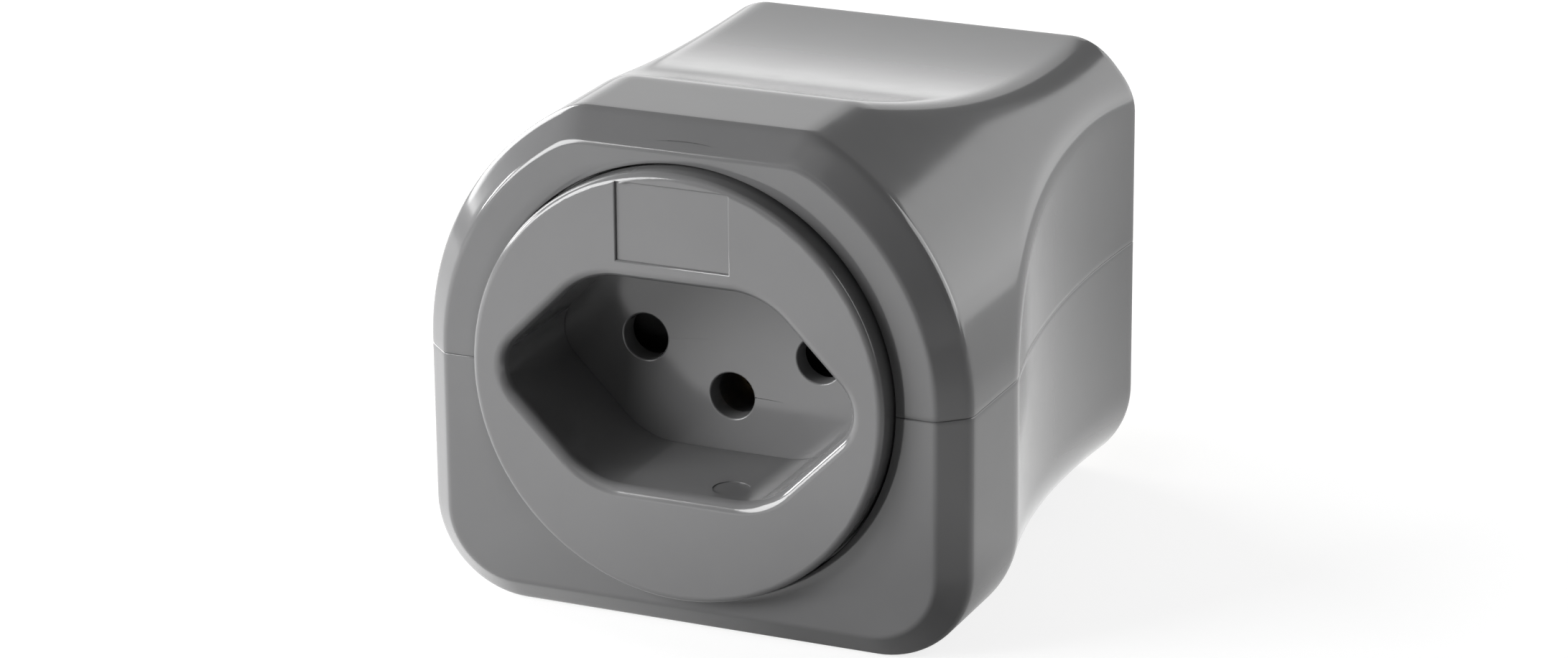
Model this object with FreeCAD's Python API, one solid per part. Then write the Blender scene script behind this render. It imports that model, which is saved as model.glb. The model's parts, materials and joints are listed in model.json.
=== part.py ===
# Travel adapter: a round three-pin socket insert in a two-half housing, with a fused rectangular-pin plug behind.
# Millimetres. +Z up as the adapter lies on its flat base, the socket faces -Y, the plug pins point to +Y, +X is right.
# The origin is at the middle of the bounding box, on the base.
# Depths are counted from the front of the socket disc, heights from the socket's centre line.
import math
import os

import FreeCAD
import Part

# Socket: pattern of the three round holes and the plug pins that go into them
pin_spacing = 19.0
earth_drop = 5.0
entering_pin_radius = 2.0
entering_pin_length = 19.0
pin_hole_radius = 2.4
pin_hole_chamfer = 0.3

# Socket disc and its six-sided recess
disc_rim = 1.9
disc_edge_radius = 0.7
disc_gap = 0.2
recess_depth = 13.7
recess_half_height = 10.8
recess_half_width = 20.2
recess_corner_radius = 8.0
recess_tip_radius = 4.0
recess_lip_radius = 1.1
recess_wall = 1.8
marker_width = 12.0
marker_height = 8.0
marker_depth = 0.3
marker_gap = 1.95
insert_flange_overlap = 1.7
insert_flange_thickness = 2.0
floor_thickness = 2.2

# Housing
body_depth = 63.0
half_width = 29.3
top_flat_half_width = 12.813
top_height = 26.35
base_depth = 26.65
corner_radius = 10.0
face_depth = 2.6
front_chamfer_width = 2.8
front_chamfer_depth = 2.6
face_edge_radius = 0.8
shoulder_edge_radius = 1.2
top_edge_radius = 3.0
rear_edge_radius = 0.8
scoop_radius = 131.0
scoop_middle_depth = 53.0
side_waist = 24.35
top_waist = 21.25
parting_height = -0.4
wall = 2.2
front_wall = 2.6
rear_wall = 2.2
rib_thickness = 1.6
rib_clearance = 0.3

# Clearances
seat_gap = 0.05
edge_gap = 0.1
slide_gap = 0.1
fuse_gap = 0.03

# Housing screws
front_column_side_gap = 0.6
front_column_screw_gap = 0.4
rear_column_wall_gap = 0.65
rear_column_base_gap = 1.4
column_radius = 3.3
column_wall = 1.1
screw_head_radius = 2.8
screw_head_height = 2.0
screw_radius = 1.5
screw_length = 22.0
screw_head_room = 0.3
screw_seat_height = -16.0
screw_hole_gap = 0.1

# Contact block and its cover
block_half_width = 15.5
block_top_wall = 2.2
block_low_wall = 1.5
ear_reach = 1.5
ear_height = 9.0
ear_radius = 3.0
ear_thickness = 3.0
boss_radius = 2.7
cover_thickness = 1.8
cover_rim = 1.2
cover_top = 11.6
cover_inset = 0.2
cover_screw_edge = 3.0
small_screw_radius = 1.25
small_head_radius = 2.3
small_head_height = 1.5
block_screw_length = 10.0
cover_screw_length = 6.0
driver_gap = 0.4

# Shutter
shutter_thickness = 3.2
shutter_travel = 5.2
lip_half_width = 3.3
lip_half_height = 3.0
lip_edge = 0.4
crossbar_height = 3.6
spring_seat_height = 1.0
spring_radius = 1.15
spring_wire_radius = 0.15
spring_turns = 9
spring_slot_gap = 0.25
spring_recess = 2.5
stop_gap = 0.3

# Contact sleeves and their clamp rings
sleeve_bore_radius = 2.03
sleeve_outer_radius = 3.2
sleeve_front_gap = 0.2
guide_length = 2.2
sleeve_bore_length = 12.0
sleeve_end_wall = 2.3
sleeve_slit = 0.6
sleeve_slit_length = 9.0
sleeve_flange_thickness = 1.2
stud_radius = 1.5
rivet_head_radius = 2.3
rivet_head_height = 0.6
ring_thickness = 0.6
ring_length = 3.0
ring_offset = 1.3
ring_opening = 1.6
ring_gap = 0.2

# Brass strips
strip_thickness = 0.8
strip_width = 6.0

# Plug: standard rectangular pins
plug_pin_spacing = 22.225
plug_earth_distance = 22.225
plug_pin_width = 6.35
plug_pin_thickness = 3.975
plug_pin_length = 17.7
plug_pin_height = 10.1
earth_pin_width = 7.925
earth_pin_length = 22.73
pin_tip_chamfer = 1.1
pin_collar = 0.9
pin_collar_thickness = 1.0
pin_sleeve_length = 9.0
pin_sleeve_root = 3.0
pin_sleeve_wall = 0.45
terminal_screw_length = 5.0

# Plug base
base_half_width = 17.5
base_top = 15.5
base_bottom = -20.0
base_edge_radius = 4.0
base_flange_overlap = 1.5
base_flange_thickness = 2.3

# Cartridge fuse, its clips and its carrier
fuse_length = 25.4
fuse_cap_radius = 3.175
fuse_cap_length = 5.6
fuse_tube_radius = 2.9
fuse_seat_gap = 0.825
clip_width = 5.0
clip_mouth = 3.0
clip_flare = 0.5
clip_end_gap = 0.3
clip_side_gap = 0.145
carrier_plate = 1.8
carrier_cheek = 1.2
carrier_end_gap = 0.3
carrier_step = 0.8
saddle_wrap = 1.4
saddle_half_width = 5.4
pry_notch_radius = 1.2

# Places that follow from the sizes above
total_length = body_depth + earth_pin_length
front_y = -0.5 * total_length
axis_z = base_depth
bow_height = top_height - math.sqrt(half_width**2 - top_flat_half_width**2)
disc_radius = recess_half_width + disc_rim
insert_flange_radius = disc_radius + disc_gap + insert_flange_overlap
front_wall_back = face_depth + front_wall
insert_flange_front = front_wall_back + seat_gap
insert_flange_back = insert_flange_front + insert_flange_thickness
marker_low = recess_half_height + marker_gap

# Chain from the recess floor back to the contacts' cover
floor_back = recess_depth + floor_thickness
chamber_depth = shutter_thickness + 2 * slide_gap
chamber_back = floor_back + chamber_depth
guide_back = chamber_back + guide_length
sleeve_front = guide_back + sleeve_front_gap
sleeve_chamber_radius = sleeve_outer_radius + ring_thickness + ring_gap
block_back = sleeve_front + sleeve_bore_length + sleeve_end_wall
strip_back = block_back + strip_thickness
cover_front = strip_back + rivet_head_height + 2 * edge_gap
cover_back = cover_front + cover_thickness

# Shutter and spring heights
crossbar_top = lip_half_height + crossbar_height
chamber_top = crossbar_top + shutter_travel + stop_gap
spring_top = chamber_top + spring_recess
block_top = spring_top + block_top_wall
block_base = -(earth_drop + sleeve_chamber_radius + block_low_wall)
ear_x = block_half_width + ear_reach
cover_screw_x = block_half_width - cover_screw_edge
cover_screw_height = block_base + cover_screw_edge

# Chain from the rear face forward to the fuse and the pins' inner ends
rear_wall_front = body_depth - rear_wall
base_flange_back = rear_wall_front - seat_gap
base_flange_front = base_flange_back - base_flange_thickness
carrier_seat = body_depth - carrier_plate
clip_bend = carrier_seat - clip_end_gap - clip_flare
fuse_depth = clip_bend - clip_mouth
terminal_depth = fuse_depth - fuse_cap_radius - fuse_seat_gap - rivet_head_height - strip_thickness
terminal_strip_front = terminal_depth - strip_thickness
base_inner_depth = terminal_depth + pin_collar_thickness
carrier_half_height = fuse_cap_radius + fuse_gap + strip_thickness + clip_flare + clip_side_gap
cheek_inner = 0.5 * fuse_length + carrier_end_gap
pocket_x = cheek_inner + carrier_cheek + edge_gap
plate_x = pocket_x + carrier_step

# Places across
line_x = 0.5 * pin_spacing
plug_x = 0.5 * plug_pin_spacing
clip_x = 0.5 * (fuse_length - fuse_cap_length)
earth_pin_height = plug_pin_height - plug_earth_distance
socket_holes = ((line_x, 0.0), (-line_x, 0.0), (0.0, -earth_drop))
foot_radius = screw_head_radius + screw_head_room + column_wall
front_column_x = block_half_width + front_column_side_gap + column_radius
block_head_back = floor_back + ear_thickness + small_head_height
front_column_depth = block_head_back + front_column_screw_gap + foot_radius
rear_column_x = side_waist - wall - rear_column_wall_gap - column_radius
rear_column_depth = base_inner_depth - rear_column_base_gap - foot_radius
column_places = (
    (front_column_x, front_column_depth),
    (-front_column_x, front_column_depth),
    (rear_column_x, rear_column_depth),
    (-rear_column_x, rear_column_depth),
)
ear_places = ((ear_x, ear_height), (-ear_x, ear_height), (-ear_x, -ear_height), (ear_x, -ear_height))
cover_screw_places = ((cover_screw_x, cover_screw_height), (-cover_screw_x, cover_screw_height))
far = 2 * (half_width + base_depth)


def point(x, depth, height):
    """Point from a sideways place, a depth behind the disc's face and a height above the socket's centre line."""
    return FreeCAD.Vector(x, front_y + depth, axis_z + height)


def block_of(x, depth, height):
    """Box between the low and high value of each direction."""
    corner = point(x[0], depth[0], height[0])
    return Part.makeBox(x[1] - x[0], depth[1] - depth[0], height[1] - height[0], corner)


def rod(x, height, radius, depth):
    """Round bar along the depth."""
    return Part.makeCylinder(radius, depth[1] - depth[0], point(x, depth[0], height), FreeCAD.Vector(0, 1, 0))


def upright_rod(x, depth, radius, height):
    """Round bar standing up."""
    return Part.makeCylinder(radius, height[1] - height[0], point(x, depth, height[0]), FreeCAD.Vector(0, 0, 1))


def cross_rod(depth, height, radius, x):
    """Round bar lying across."""
    return Part.makeCylinder(radius, x[1] - x[0], point(x[0], depth, height), FreeCAD.Vector(1, 0, 0))


def joined(pieces):
    """One solid out of several that meet."""
    whole = pieces[0]
    for piece in pieces[1:]:
        whole = whole.fuse(piece)
    return whole.removeSplitter()


def cut_by(shape, tools):
    """The shape without the tools."""
    for tool in tools:
        shape = shape.cut(tool)
    return shape


def group(pieces):
    """Several separate solids kept in one node."""
    return Part.makeCompound(pieces)


def rounded_polygon(corners, depth):
    """Closed wire through corners given as (x, height, radius), each corner rounded by its radius."""
    count = len(corners)
    arcs = []
    for index in range(count):
        x, height, radius = corners[index]
        here = FreeCAD.Vector(x, 0, height)
        before = FreeCAD.Vector(corners[index - 1][0], 0, corners[index - 1][1])
        after = FreeCAD.Vector(corners[(index + 1) % count][0], 0, corners[(index + 1) % count][1])
        to_before = (before - here).normalize()
        to_after = (after - here).normalize()
        half_angle = 0.5 * to_before.getAngle(to_after)
        middle_way = (to_before + to_after).normalize()
        tangent = radius / math.tan(half_angle)
        start = here + to_before * tangent
        end = here + to_after * tangent
        middle = here + middle_way * (radius / math.sin(half_angle) - radius)
        arcs.append((start, middle, end))
    edges = []
    for index in range(count):
        start, middle, end = (point(p.x, depth, p.z) for p in arcs[index])
        next_start = arcs[(index + 1) % count][0]
        edges.append(Part.Arc(start, middle, end).toShape())
        edges.append(Part.makeLine(end, point(next_start.x, depth, next_start.z)))
    return Part.Wire(edges)


def prism(wire, length):
    """Solid of a wire's outline pushed along the depth."""
    return Part.Face(wire).extrude(FreeCAD.Vector(0, length, 0))


def rounded_block(half_width_here, height, radius, depth):
    """Block with four rounded edges along the depth."""
    low, high = height
    corners = (
        (-half_width_here, low, radius),
        (half_width_here, low, radius),
        (half_width_here, high, radius),
        (-half_width_here, high, radius),
    )
    return prism(rounded_polygon(corners, depth[0]), depth[1] - depth[0])


def recess_block(offset, depth):
    """Six-sided block of the socket recess, grown by an offset."""
    high = recess_half_height + offset
    tip = recess_half_width + offset * math.sqrt(2)
    corner = tip - high
    round_corner = recess_corner_radius + offset
    round_tip = recess_tip_radius + offset
    corners = (
        (-tip, 0, round_tip),
        (-corner, -high, round_corner),
        (corner, -high, round_corner),
        (tip, 0, round_tip),
        (corner, high, round_corner),
        (-corner, high, round_corner),
    )
    return prism(rounded_polygon(corners, depth[0]), depth[1] - depth[0])


def edges_within(shape, depth, height):
    """Edges that lie whole between two depths and two heights."""
    found = []
    for edge in shape.Edges:
        box = edge.BoundBox
        deep_enough = box.YMin > front_y + depth[0] and box.YMax < front_y + depth[1]
        if deep_enough and box.ZMin > axis_z + height[0] and box.ZMax < axis_z + height[1]:
            found.append(edge)
    return found


# Housing


def housing_outline(depth, inset):
    """Section of the housing: a flat top between round sides, then straight sides and two rounded lower corners."""
    side = half_width - inset
    top = top_height - inset
    base = base_depth - inset
    corner = corner_radius - inset
    bow_start = math.acos((top - bow_height) / side)
    flat = side * math.sin(bow_start)
    half_way = 0.5 * (0.5 * math.pi + bow_start)
    bow_x = side * math.sin(half_way)
    bow_z = bow_height + side * math.cos(half_way)
    dip = corner * (1 - math.sqrt(0.5))
    edges = (
        Part.makeLine(point(-side, depth, bow_height), point(-side, depth, corner - base)),
        Part.Arc(
            point(-side, depth, corner - base),
            point(dip - side, depth, dip - base),
            point(corner - side, depth, -base),
        ).toShape(),
        Part.makeLine(point(corner - side, depth, -base), point(side - corner, depth, -base)),
        Part.Arc(
            point(side - corner, depth, -base),
            point(side - dip, depth, dip - base),
            point(side, depth, corner - base),
        ).toShape(),
        Part.makeLine(point(side, depth, corner - base), point(side, depth, bow_height)),
        Part.Arc(point(side, depth, bow_height), point(bow_x, depth, bow_z), point(flat, depth, top)).toShape(),
        Part.makeLine(point(flat, depth, top), point(-flat, depth, top)),
        Part.Arc(point(-flat, depth, top), point(-bow_x, depth, bow_z), point(-side, depth, bow_height)).toShape(),
    )
    return Part.Wire(edges)


def side_wheel(sign, inset):
    """Wheel that cuts one side's finger scoop and carries the lower corner's rounding along it."""
    axis_x = side_waist + scoop_radius
    near = scoop_radius + inset
    beyond = scoop_radius + corner_radius
    corner_height = corner_radius - base_depth
    radius = corner_radius - inset
    reach = radius * math.sqrt(0.5)

    def rim(out, height):
        return point(sign * (axis_x + out), scoop_middle_depth, height)

    edges = (
        Part.makeLine(rim(0, far), rim(near, far)),
        Part.makeLine(rim(near, far), rim(near, corner_height)),
        Part.Arc(
            rim(near, corner_height),
            rim(beyond - reach, corner_height - reach),
            rim(beyond, corner_height - radius),
        ).toShape(),
        Part.makeLine(rim(beyond, corner_height - radius), rim(beyond, -far)),
        Part.makeLine(rim(beyond, -far), rim(0, -far)),
        Part.makeLine(rim(0, -far), rim(0, far)),
    )
    outline = Part.Face(Part.Wire(edges))
    return outline.revolve(point(sign * axis_x, scoop_middle_depth, 0), FreeCAD.Vector(0, 0, 1), 360)


def top_roller(inset):
    """Roller that cuts the finger scoop of the top."""
    return cross_rod(scoop_middle_depth, top_waist + scoop_radius, scoop_radius + inset, (-far, far))


def scooped(shape, inset):
    """The shape with its three finger scoops, each an inset deeper."""
    return cut_by(shape, (side_wheel(1, inset), side_wheel(-1, inset), top_roller(inset)))


def outer_block():
    """Outside of the housing, both halves in one."""
    shoulder = face_depth + front_chamfer_depth
    nose_wires = [housing_outline(face_depth, front_chamfer_width), housing_outline(shoulder, 0)]
    nose = Part.makeLoft(nose_wires, True, True)
    trunk = prism(housing_outline(shoulder, 0), body_depth - shoulder)
    whole = scooped(joined((nose, trunk)), 0).removeSplitter()
    scoop_start = scoop_middle_depth - math.sqrt(2 * scoop_radius * (top_height - top_waist))
    margin = 0.2
    top_line = top_waist - 2 * margin
    along = edges_within(whole, (scoop_start - margin, body_depth + margin), (top_line, far))
    top_edges = [edge for edge in along if edge.BoundBox.YMax - edge.BoundBox.YMin > margin]
    top_edges += edges_within(whole, (scoop_start - margin, scoop_start + margin), (top_line, far))
    whole = whole.makeFillet(top_edge_radius, top_edges)
    face_edges = edges_within(whole, (face_depth - margin, face_depth + margin), (-far, far))
    whole = whole.makeFillet(face_edge_radius, face_edges)
    shoulder_edges = edges_within(whole, (shoulder - margin, shoulder + margin), (-far, far))
    whole = whole.makeFillet(shoulder_edge_radius, shoulder_edges)
    rear_edges = edges_within(whole, (body_depth - margin, body_depth + margin), (-far, far))
    return whole.makeFillet(rear_edge_radius, rear_edges)


def inner_block(depth, gap=0.0):
    """Inside space of the housing between two depths, smaller by a gap all round."""
    inset = wall + gap
    return scooped(prism(housing_outline(depth[0], inset), depth[1] - depth[0]), inset)


def housing_ribs():
    """Two walls inside: one behind the insert's flange, one before the plug base's flange."""
    front_start = insert_flange_back + seat_gap
    front_rib = inner_block((front_start, front_start + rib_thickness))
    boss_reach = math.hypot(ear_x, ear_height) + boss_radius
    front_rib = front_rib.cut(rod(0, 0, boss_reach + rib_clearance, (0, body_depth)))
    rear_start = base_flange_front - seat_gap - rib_thickness
    rear_rib = inner_block((rear_start, rear_start + rib_thickness))
    height = (base_bottom - rib_clearance, base_top + rib_clearance)
    opening = rounded_block(base_half_width + rib_clearance, height, base_edge_radius, (0, body_depth))
    return front_rib, rear_rib.cut(opening)


def housing_shell():
    """Hollow housing with its ribs, the round front hole and the rear opening."""
    hollow = inner_block((front_wall_back, rear_wall_front))
    shell = outer_block().cut(hollow)
    shell = joined((shell,) + housing_ribs())
    front_hole = rod(0, 0, disc_radius + disc_gap, (0, front_wall_back + seat_gap))
    rear_height = (base_bottom - edge_gap, base_top + edge_gap)
    rear_span = (rear_wall_front - seat_gap, body_depth + wall)
    rear_opening = rounded_block(base_half_width + edge_gap, rear_height, base_edge_radius, rear_span)
    return cut_by(shell, (front_hole, rear_opening))


def upper_housing():
    """Half above the parting line, with a blind column for each screw."""
    above = block_of((-far, far), (-far, far), (parting_height, far))
    half = housing_shell().common(above)
    tip = screw_seat_height + screw_length
    inside = inner_block((front_wall_back, rear_wall_front))
    for x, depth in column_places:
        column = upright_rod(x, depth, column_radius, (parting_height, top_height))
        half = half.fuse(column.common(inside))
        half = half.cut(upright_rod(x, depth, screw_radius, (parting_height - wall, tip + seat_gap)))
    return half.removeSplitter()


def lower_housing():
    """Half below the parting line, with a column and a deep screw recess at each screw."""
    below = block_of((-far, far), (-far, far), (-far, parting_height))
    half = housing_shell().common(below)
    recess_radius = screw_head_radius + screw_head_room
    inside = inner_block((front_wall_back, rear_wall_front))
    for x, depth in column_places:
        foot_top = screw_seat_height + column_wall
        foot = upright_rod(x, depth, foot_radius, (-base_depth, foot_top))
        column = upright_rod(x, depth, column_radius, (-base_depth, parting_height))
        half = half.fuse(joined((foot, column)).common(inside))
        recess = upright_rod(x, depth, recess_radius, (-base_depth - wall, screw_seat_height))
        hole = upright_rod(x, depth, screw_radius + screw_hole_gap, (screw_seat_height, parting_height + wall))
        half = cut_by(half, (recess, hole))
    return half.removeSplitter()


def housing_screws():
    """Four screws from below, their heads deep in the base."""
    screws = []
    for x, depth in column_places:
        head = upright_rod(x, depth, screw_head_radius, (screw_seat_height - screw_head_height, screw_seat_height))
        shank = upright_rod(x, depth, screw_radius, (screw_seat_height, screw_seat_height + screw_length))
        slot_depth = 0.5 * screw_head_height
        slot_width = 0.3 * screw_head_radius
        low = screw_seat_height - screw_head_height
        slots = (
            block_of((x - 0.6 * screw_head_radius, x + 0.6 * screw_head_radius),
                     (depth - 0.5 * slot_width, depth + 0.5 * slot_width), (low, low + slot_depth)),
            block_of((x - 0.5 * slot_width, x + 0.5 * slot_width),
                     (depth - 0.6 * screw_head_radius, depth + 0.6 * screw_head_radius), (low, low + slot_depth)),
        )
        screws.append(cut_by(joined((head, shank)), slots))
    return group(screws)


# Socket


def socket_insert():
    """Round disc with the open six-sided tube, its flange and four screw bosses."""
    disc = rod(0, 0, disc_radius, (0, insert_flange_back))
    front_rim = edges_within(disc, (-edge_gap, edge_gap), (-far, far))
    disc = disc.makeFillet(disc_edge_radius, front_rim)
    flange_span = (insert_flange_front, insert_flange_back)
    flange = rod(0, 0, insert_flange_radius, flange_span).common(inner_block(flange_span, edge_gap))
    tube = recess_block(recess_wall, (insert_flange_front, recess_depth))
    bosses = [rod(x, height, boss_radius, (insert_flange_front, recess_depth)) for x, height in ear_places]
    body = joined([disc, flange, tube] + bosses)
    body = body.cut(recess_block(0, (-wall, recess_depth + wall)))
    mouth = [edge for edge in edges_within(body, (-edge_gap, edge_gap), (-far, far)) if on_recess(edge)]
    body = body.makeFillet(recess_lip_radius, mouth)
    marker = block_of(
        (-0.5 * marker_width, 0.5 * marker_width), (-wall, marker_depth), (marker_low, marker_low + marker_height)
    )
    tip = floor_back + ear_thickness - block_screw_length
    holes = [rod(x, height, small_screw_radius, (tip - seat_gap, floor_back)) for x, height in ear_places]
    return cut_by(body, [marker] + holes)


def on_recess(edge):
    """Whether an edge of the disc's face belongs to the recess and not to the disc's rim."""
    box = edge.BoundBox
    middle = math.hypot(0.5 * (box.XMin + box.XMax), 0.5 * (box.ZMin + box.ZMax) - axis_z)
    reach = max(abs(box.XMin), abs(box.XMax), abs(box.ZMin - axis_z), abs(box.ZMax - axis_z))
    return reach < recess_half_width and middle < recess_half_width


def floor_plate():
    """Floor of the recess with its three pin holes."""
    plate = recess_block(recess_wall, (recess_depth, floor_back))
    ears = [rod(x, height, ear_radius, (recess_depth, floor_back)) for x, height in ear_places]
    plate = joined([plate] + ears)
    for x, height in socket_holes:
        plate = plate.cut(rod(x, height, pin_hole_radius, (0, body_depth)))
        cone = Part.makeCone(
            pin_hole_radius + pin_hole_chamfer, pin_hole_radius, pin_hole_chamfer, point(x, recess_depth, height),
            FreeCAD.Vector(0, 1, 0)
        )
        plate = plate.cut(cone)
    holes = [rod(x, height, small_screw_radius + screw_hole_gap, (0, body_depth)) for x, height in ear_places]
    return cut_by(plate, holes)


def shutter_profile(gap):
    """Outline of the shutter seen from the front, as boxes grown by a gap: crossbar and two lips."""
    depth = (floor_back + slide_gap - gap, floor_back + slide_gap + shutter_thickness + gap)
    half_span = line_x + lip_half_width + gap
    inner = line_x - lip_half_width - gap
    bar = block_of((-half_span, half_span), depth, (lip_half_height, crossbar_top))
    lips = [
        block_of((inner, half_span), depth, (-lip_half_height - gap, crossbar_top)),
        block_of((-half_span, -inner), depth, (-lip_half_height - gap, crossbar_top)),
    ]
    return joined([bar] + lips)


def shutter():
    """Sliding cover behind the line and neutral holes. Two entering pins push on its slopes and lift it."""
    body = shutter_profile(0)
    front = floor_back + slide_gap
    back = front + shutter_thickness - lip_edge
    corners = (
        point(-far, front, lip_half_height),
        point(-far, back, -lip_half_height),
        point(-far, back, -far),
        point(-far, front - wall, -far),
        point(-far, front - wall, lip_half_height),
    )
    outline = Part.Face(Part.makePolygon(list(corners) + [corners[0]]))
    slope = outline.extrude(FreeCAD.Vector(2 * far, 0, 0))
    slot_half = spring_radius + spring_slot_gap
    slot = block_of(
        (-slot_half, slot_half), (front - wall, floor_back + body_depth), (lip_half_height + spring_seat_height, far)
    )
    return cut_by(body, (slope, slot))


def shutter_chamber():
    """Space that the shutter needs in the contact block, over its whole travel."""
    depth = (floor_back, chamber_back)
    half_span = line_x + lip_half_width + slide_gap
    bar_space = block_of((-half_span, half_span), depth, (lip_half_height - slide_gap, chamber_top))
    slot_half = spring_radius + spring_slot_gap
    spring_space = block_of((-slot_half, slot_half), depth, (crossbar_top, spring_top))
    return joined((shutter_profile(slide_gap), bar_space, spring_space))


def shutter_spring():
    """Compression spring between the shutter's slot and the block."""
    low = lip_half_height + spring_seat_height + spring_wire_radius
    high = spring_top - spring_wire_radius
    depth = floor_back + 0.5 * chamber_depth
    pitch = (high - low) / spring_turns
    helix = Part.makeHelix(pitch, high - low, spring_radius - spring_wire_radius)
    helix.translate(point(0, depth, low))
    start = point(spring_radius - spring_wire_radius, depth, low)
    circle = Part.Circle(start, FreeCAD.Vector(0, 1, 0), spring_wire_radius)
    section = Part.Wire([circle.toShape()])
    return Part.Wire(helix.Edges).makePipeShell([section], True, True)


def contact_block():
    """Insulating block that holds the three contact sleeves and the shutter."""
    height = (block_base, block_top)
    body = block_of((-block_half_width, block_half_width), (floor_back, block_back), height)
    ears = [rod(x, place, ear_radius, (floor_back, floor_back + ear_thickness)) for x, place in ear_places]
    body = joined([body] + ears)
    cuts = [shutter_chamber()]
    for x, place in socket_holes:
        cuts.append(rod(x, place, pin_hole_radius, (0, block_back)))
        cuts.append(rod(x, place, sleeve_chamber_radius, (guide_back, block_back)))
    for x, place in ear_places:
        cuts.append(rod(x, place, small_screw_radius + screw_hole_gap, (0, block_back)))
        driver_radius = small_head_radius + driver_gap
        cuts.append(rod(x, place, driver_radius, (floor_back + ear_thickness, body_depth)))
    tip = cover_back - cover_screw_length
    for x, place in cover_screw_places:
        cuts.append(rod(x, place, small_screw_radius, (tip - seat_gap, block_back)))
    return cut_by(body, cuts)


def small_screws(places, seat, length):
    """Group of small screws along the depth, heads behind a seat."""
    screws = []
    for x, height in places:
        head = rod(x, height, small_head_radius, (seat, seat + small_head_height))
        shank = rod(x, height, small_screw_radius, (seat - length, seat))
        half_slot = 0.15 * small_head_radius
        slot_floor = seat + 0.5 * small_head_height
        slot = block_of(
            (x - small_head_radius, x + small_head_radius), (slot_floor, seat + wall + small_head_height),
            (height - half_slot, height + half_slot)
        )
        screws.append(joined((head, shank)).cut(slot))
    return group(screws)


def contact_sleeve(x, height):
    """Turned brass sleeve with a slit bore, a flange and a riveted stud."""
    barrel_back = block_back - sleeve_flange_thickness
    barrel = rod(x, height, sleeve_outer_radius, (sleeve_front, barrel_back))
    flange = rod(x, height, sleeve_chamber_radius - edge_gap, (barrel_back, block_back))
    stud = rod(x, height, stud_radius, (block_back, strip_back + rivet_head_height))
    head = rod(x, height, rivet_head_radius, (strip_back, strip_back + rivet_head_height))
    bore = rod(x, height, sleeve_bore_radius, (sleeve_front, sleeve_front + sleeve_bore_length))
    slit = block_of(
        (x - 0.5 * sleeve_slit, x + 0.5 * sleeve_slit), (sleeve_front, sleeve_front + sleeve_slit_length),
        (height - sleeve_chamber_radius, height + sleeve_chamber_radius)
    )
    return cut_by(joined((barrel, flange, stud, head)), (bore, slit))


def clamp_ring(x, height):
    """Open steel ring that presses the sleeve's two halves together."""
    start = sleeve_front + ring_offset
    span = (start, start + ring_length)
    ring = rod(x, height, sleeve_outer_radius + ring_thickness, span).cut(rod(x, height, sleeve_outer_radius, span))
    half = 0.5 * ring_opening
    opening = block_of((x, x + sleeve_chamber_radius), span, (height - half, height + half))
    return ring.cut(opening)


# Brass strips


def stud_hole(x, height):
    """Hole of a strip for a sleeve's stud."""
    return rod(x, height, stud_radius, (block_back, strip_back))


def load_strip():
    """Strip from the line sleeve back to the fuse."""
    half = 0.5 * strip_width
    outer = clip_x + 0.5 * clip_width + strip_thickness
    at_sleeve = block_of((line_x - half, outer), (block_back, strip_back), (-half, half))
    arm = block_of((outer - strip_thickness, outer), (block_back, terminal_depth), (-half, half))
    at_clip_low = clip_x - 0.5 * clip_width
    at_clip = block_of((at_clip_low, outer), (terminal_strip_front, terminal_depth), (-half, half))
    return cut_by(joined((at_sleeve, arm, at_clip)), (stud_hole(line_x, 0), clip_rivet_hole(1)))


def supply_strip():
    """Strip from the line pin down to the fuse's supply clip."""
    half = 0.5 * strip_width
    low_x = -plug_x - half
    high_x = clip_x - 0.5 * clip_width
    bar = block_of((low_x, -high_x), (terminal_strip_front, terminal_depth), (-half, plug_pin_height + half))
    return cut_by(bar, (clip_rivet_hole(-1), terminal_hole(-plug_x, plug_pin_height)))


def neutral_strip():
    """Strip from the neutral pin, over the other pieces, down to the neutral sleeve."""
    half = 0.5 * strip_width
    bridge_top = plug_pin_height + half + strip_thickness
    bridge = (bridge_top - strip_thickness, bridge_top)
    at_pin_x = (plug_x - half, plug_x + half)
    at_sleeve_x = (-line_x - half, -line_x + half)
    crossing_front = cover_back + strip_thickness
    crossing = (crossing_front, crossing_front + strip_width)
    at_pin = block_of(at_pin_x, (terminal_strip_front, terminal_depth), (plug_pin_height - half, bridge_top))
    back_run = block_of(at_pin_x, (crossing[0], terminal_depth), bridge)
    across = block_of((at_sleeve_x[0], at_pin_x[1]), crossing, bridge)
    front_run = block_of(at_sleeve_x, (block_back, crossing[1]), bridge)
    down = block_of(at_sleeve_x, (block_back, strip_back), (-half, bridge_top))
    holes = (stud_hole(-line_x, 0), terminal_hole(plug_x, plug_pin_height))
    return cut_by(joined((at_pin, back_run, across, front_run, down)), holes)


def earth_strip():
    """Strip from the earth sleeve under the other pieces to the earth pin."""
    half = 0.5 * strip_width
    low = earth_pin_height - 0.5 * earth_pin_width - strip_thickness
    at_sleeve = block_of((-half, half), (block_back, strip_back), (low, half - earth_drop))
    run = block_of((-half, half), (block_back, terminal_depth), (low, low + strip_thickness))
    at_pin_top = earth_pin_height + 0.5 * earth_pin_width
    at_pin = block_of((-half, half), (terminal_strip_front, terminal_depth), (low, at_pin_top))
    holes = (stud_hole(0, -earth_drop), terminal_hole(0, earth_pin_height))
    return cut_by(joined((at_sleeve, run, at_pin)), holes)


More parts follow.
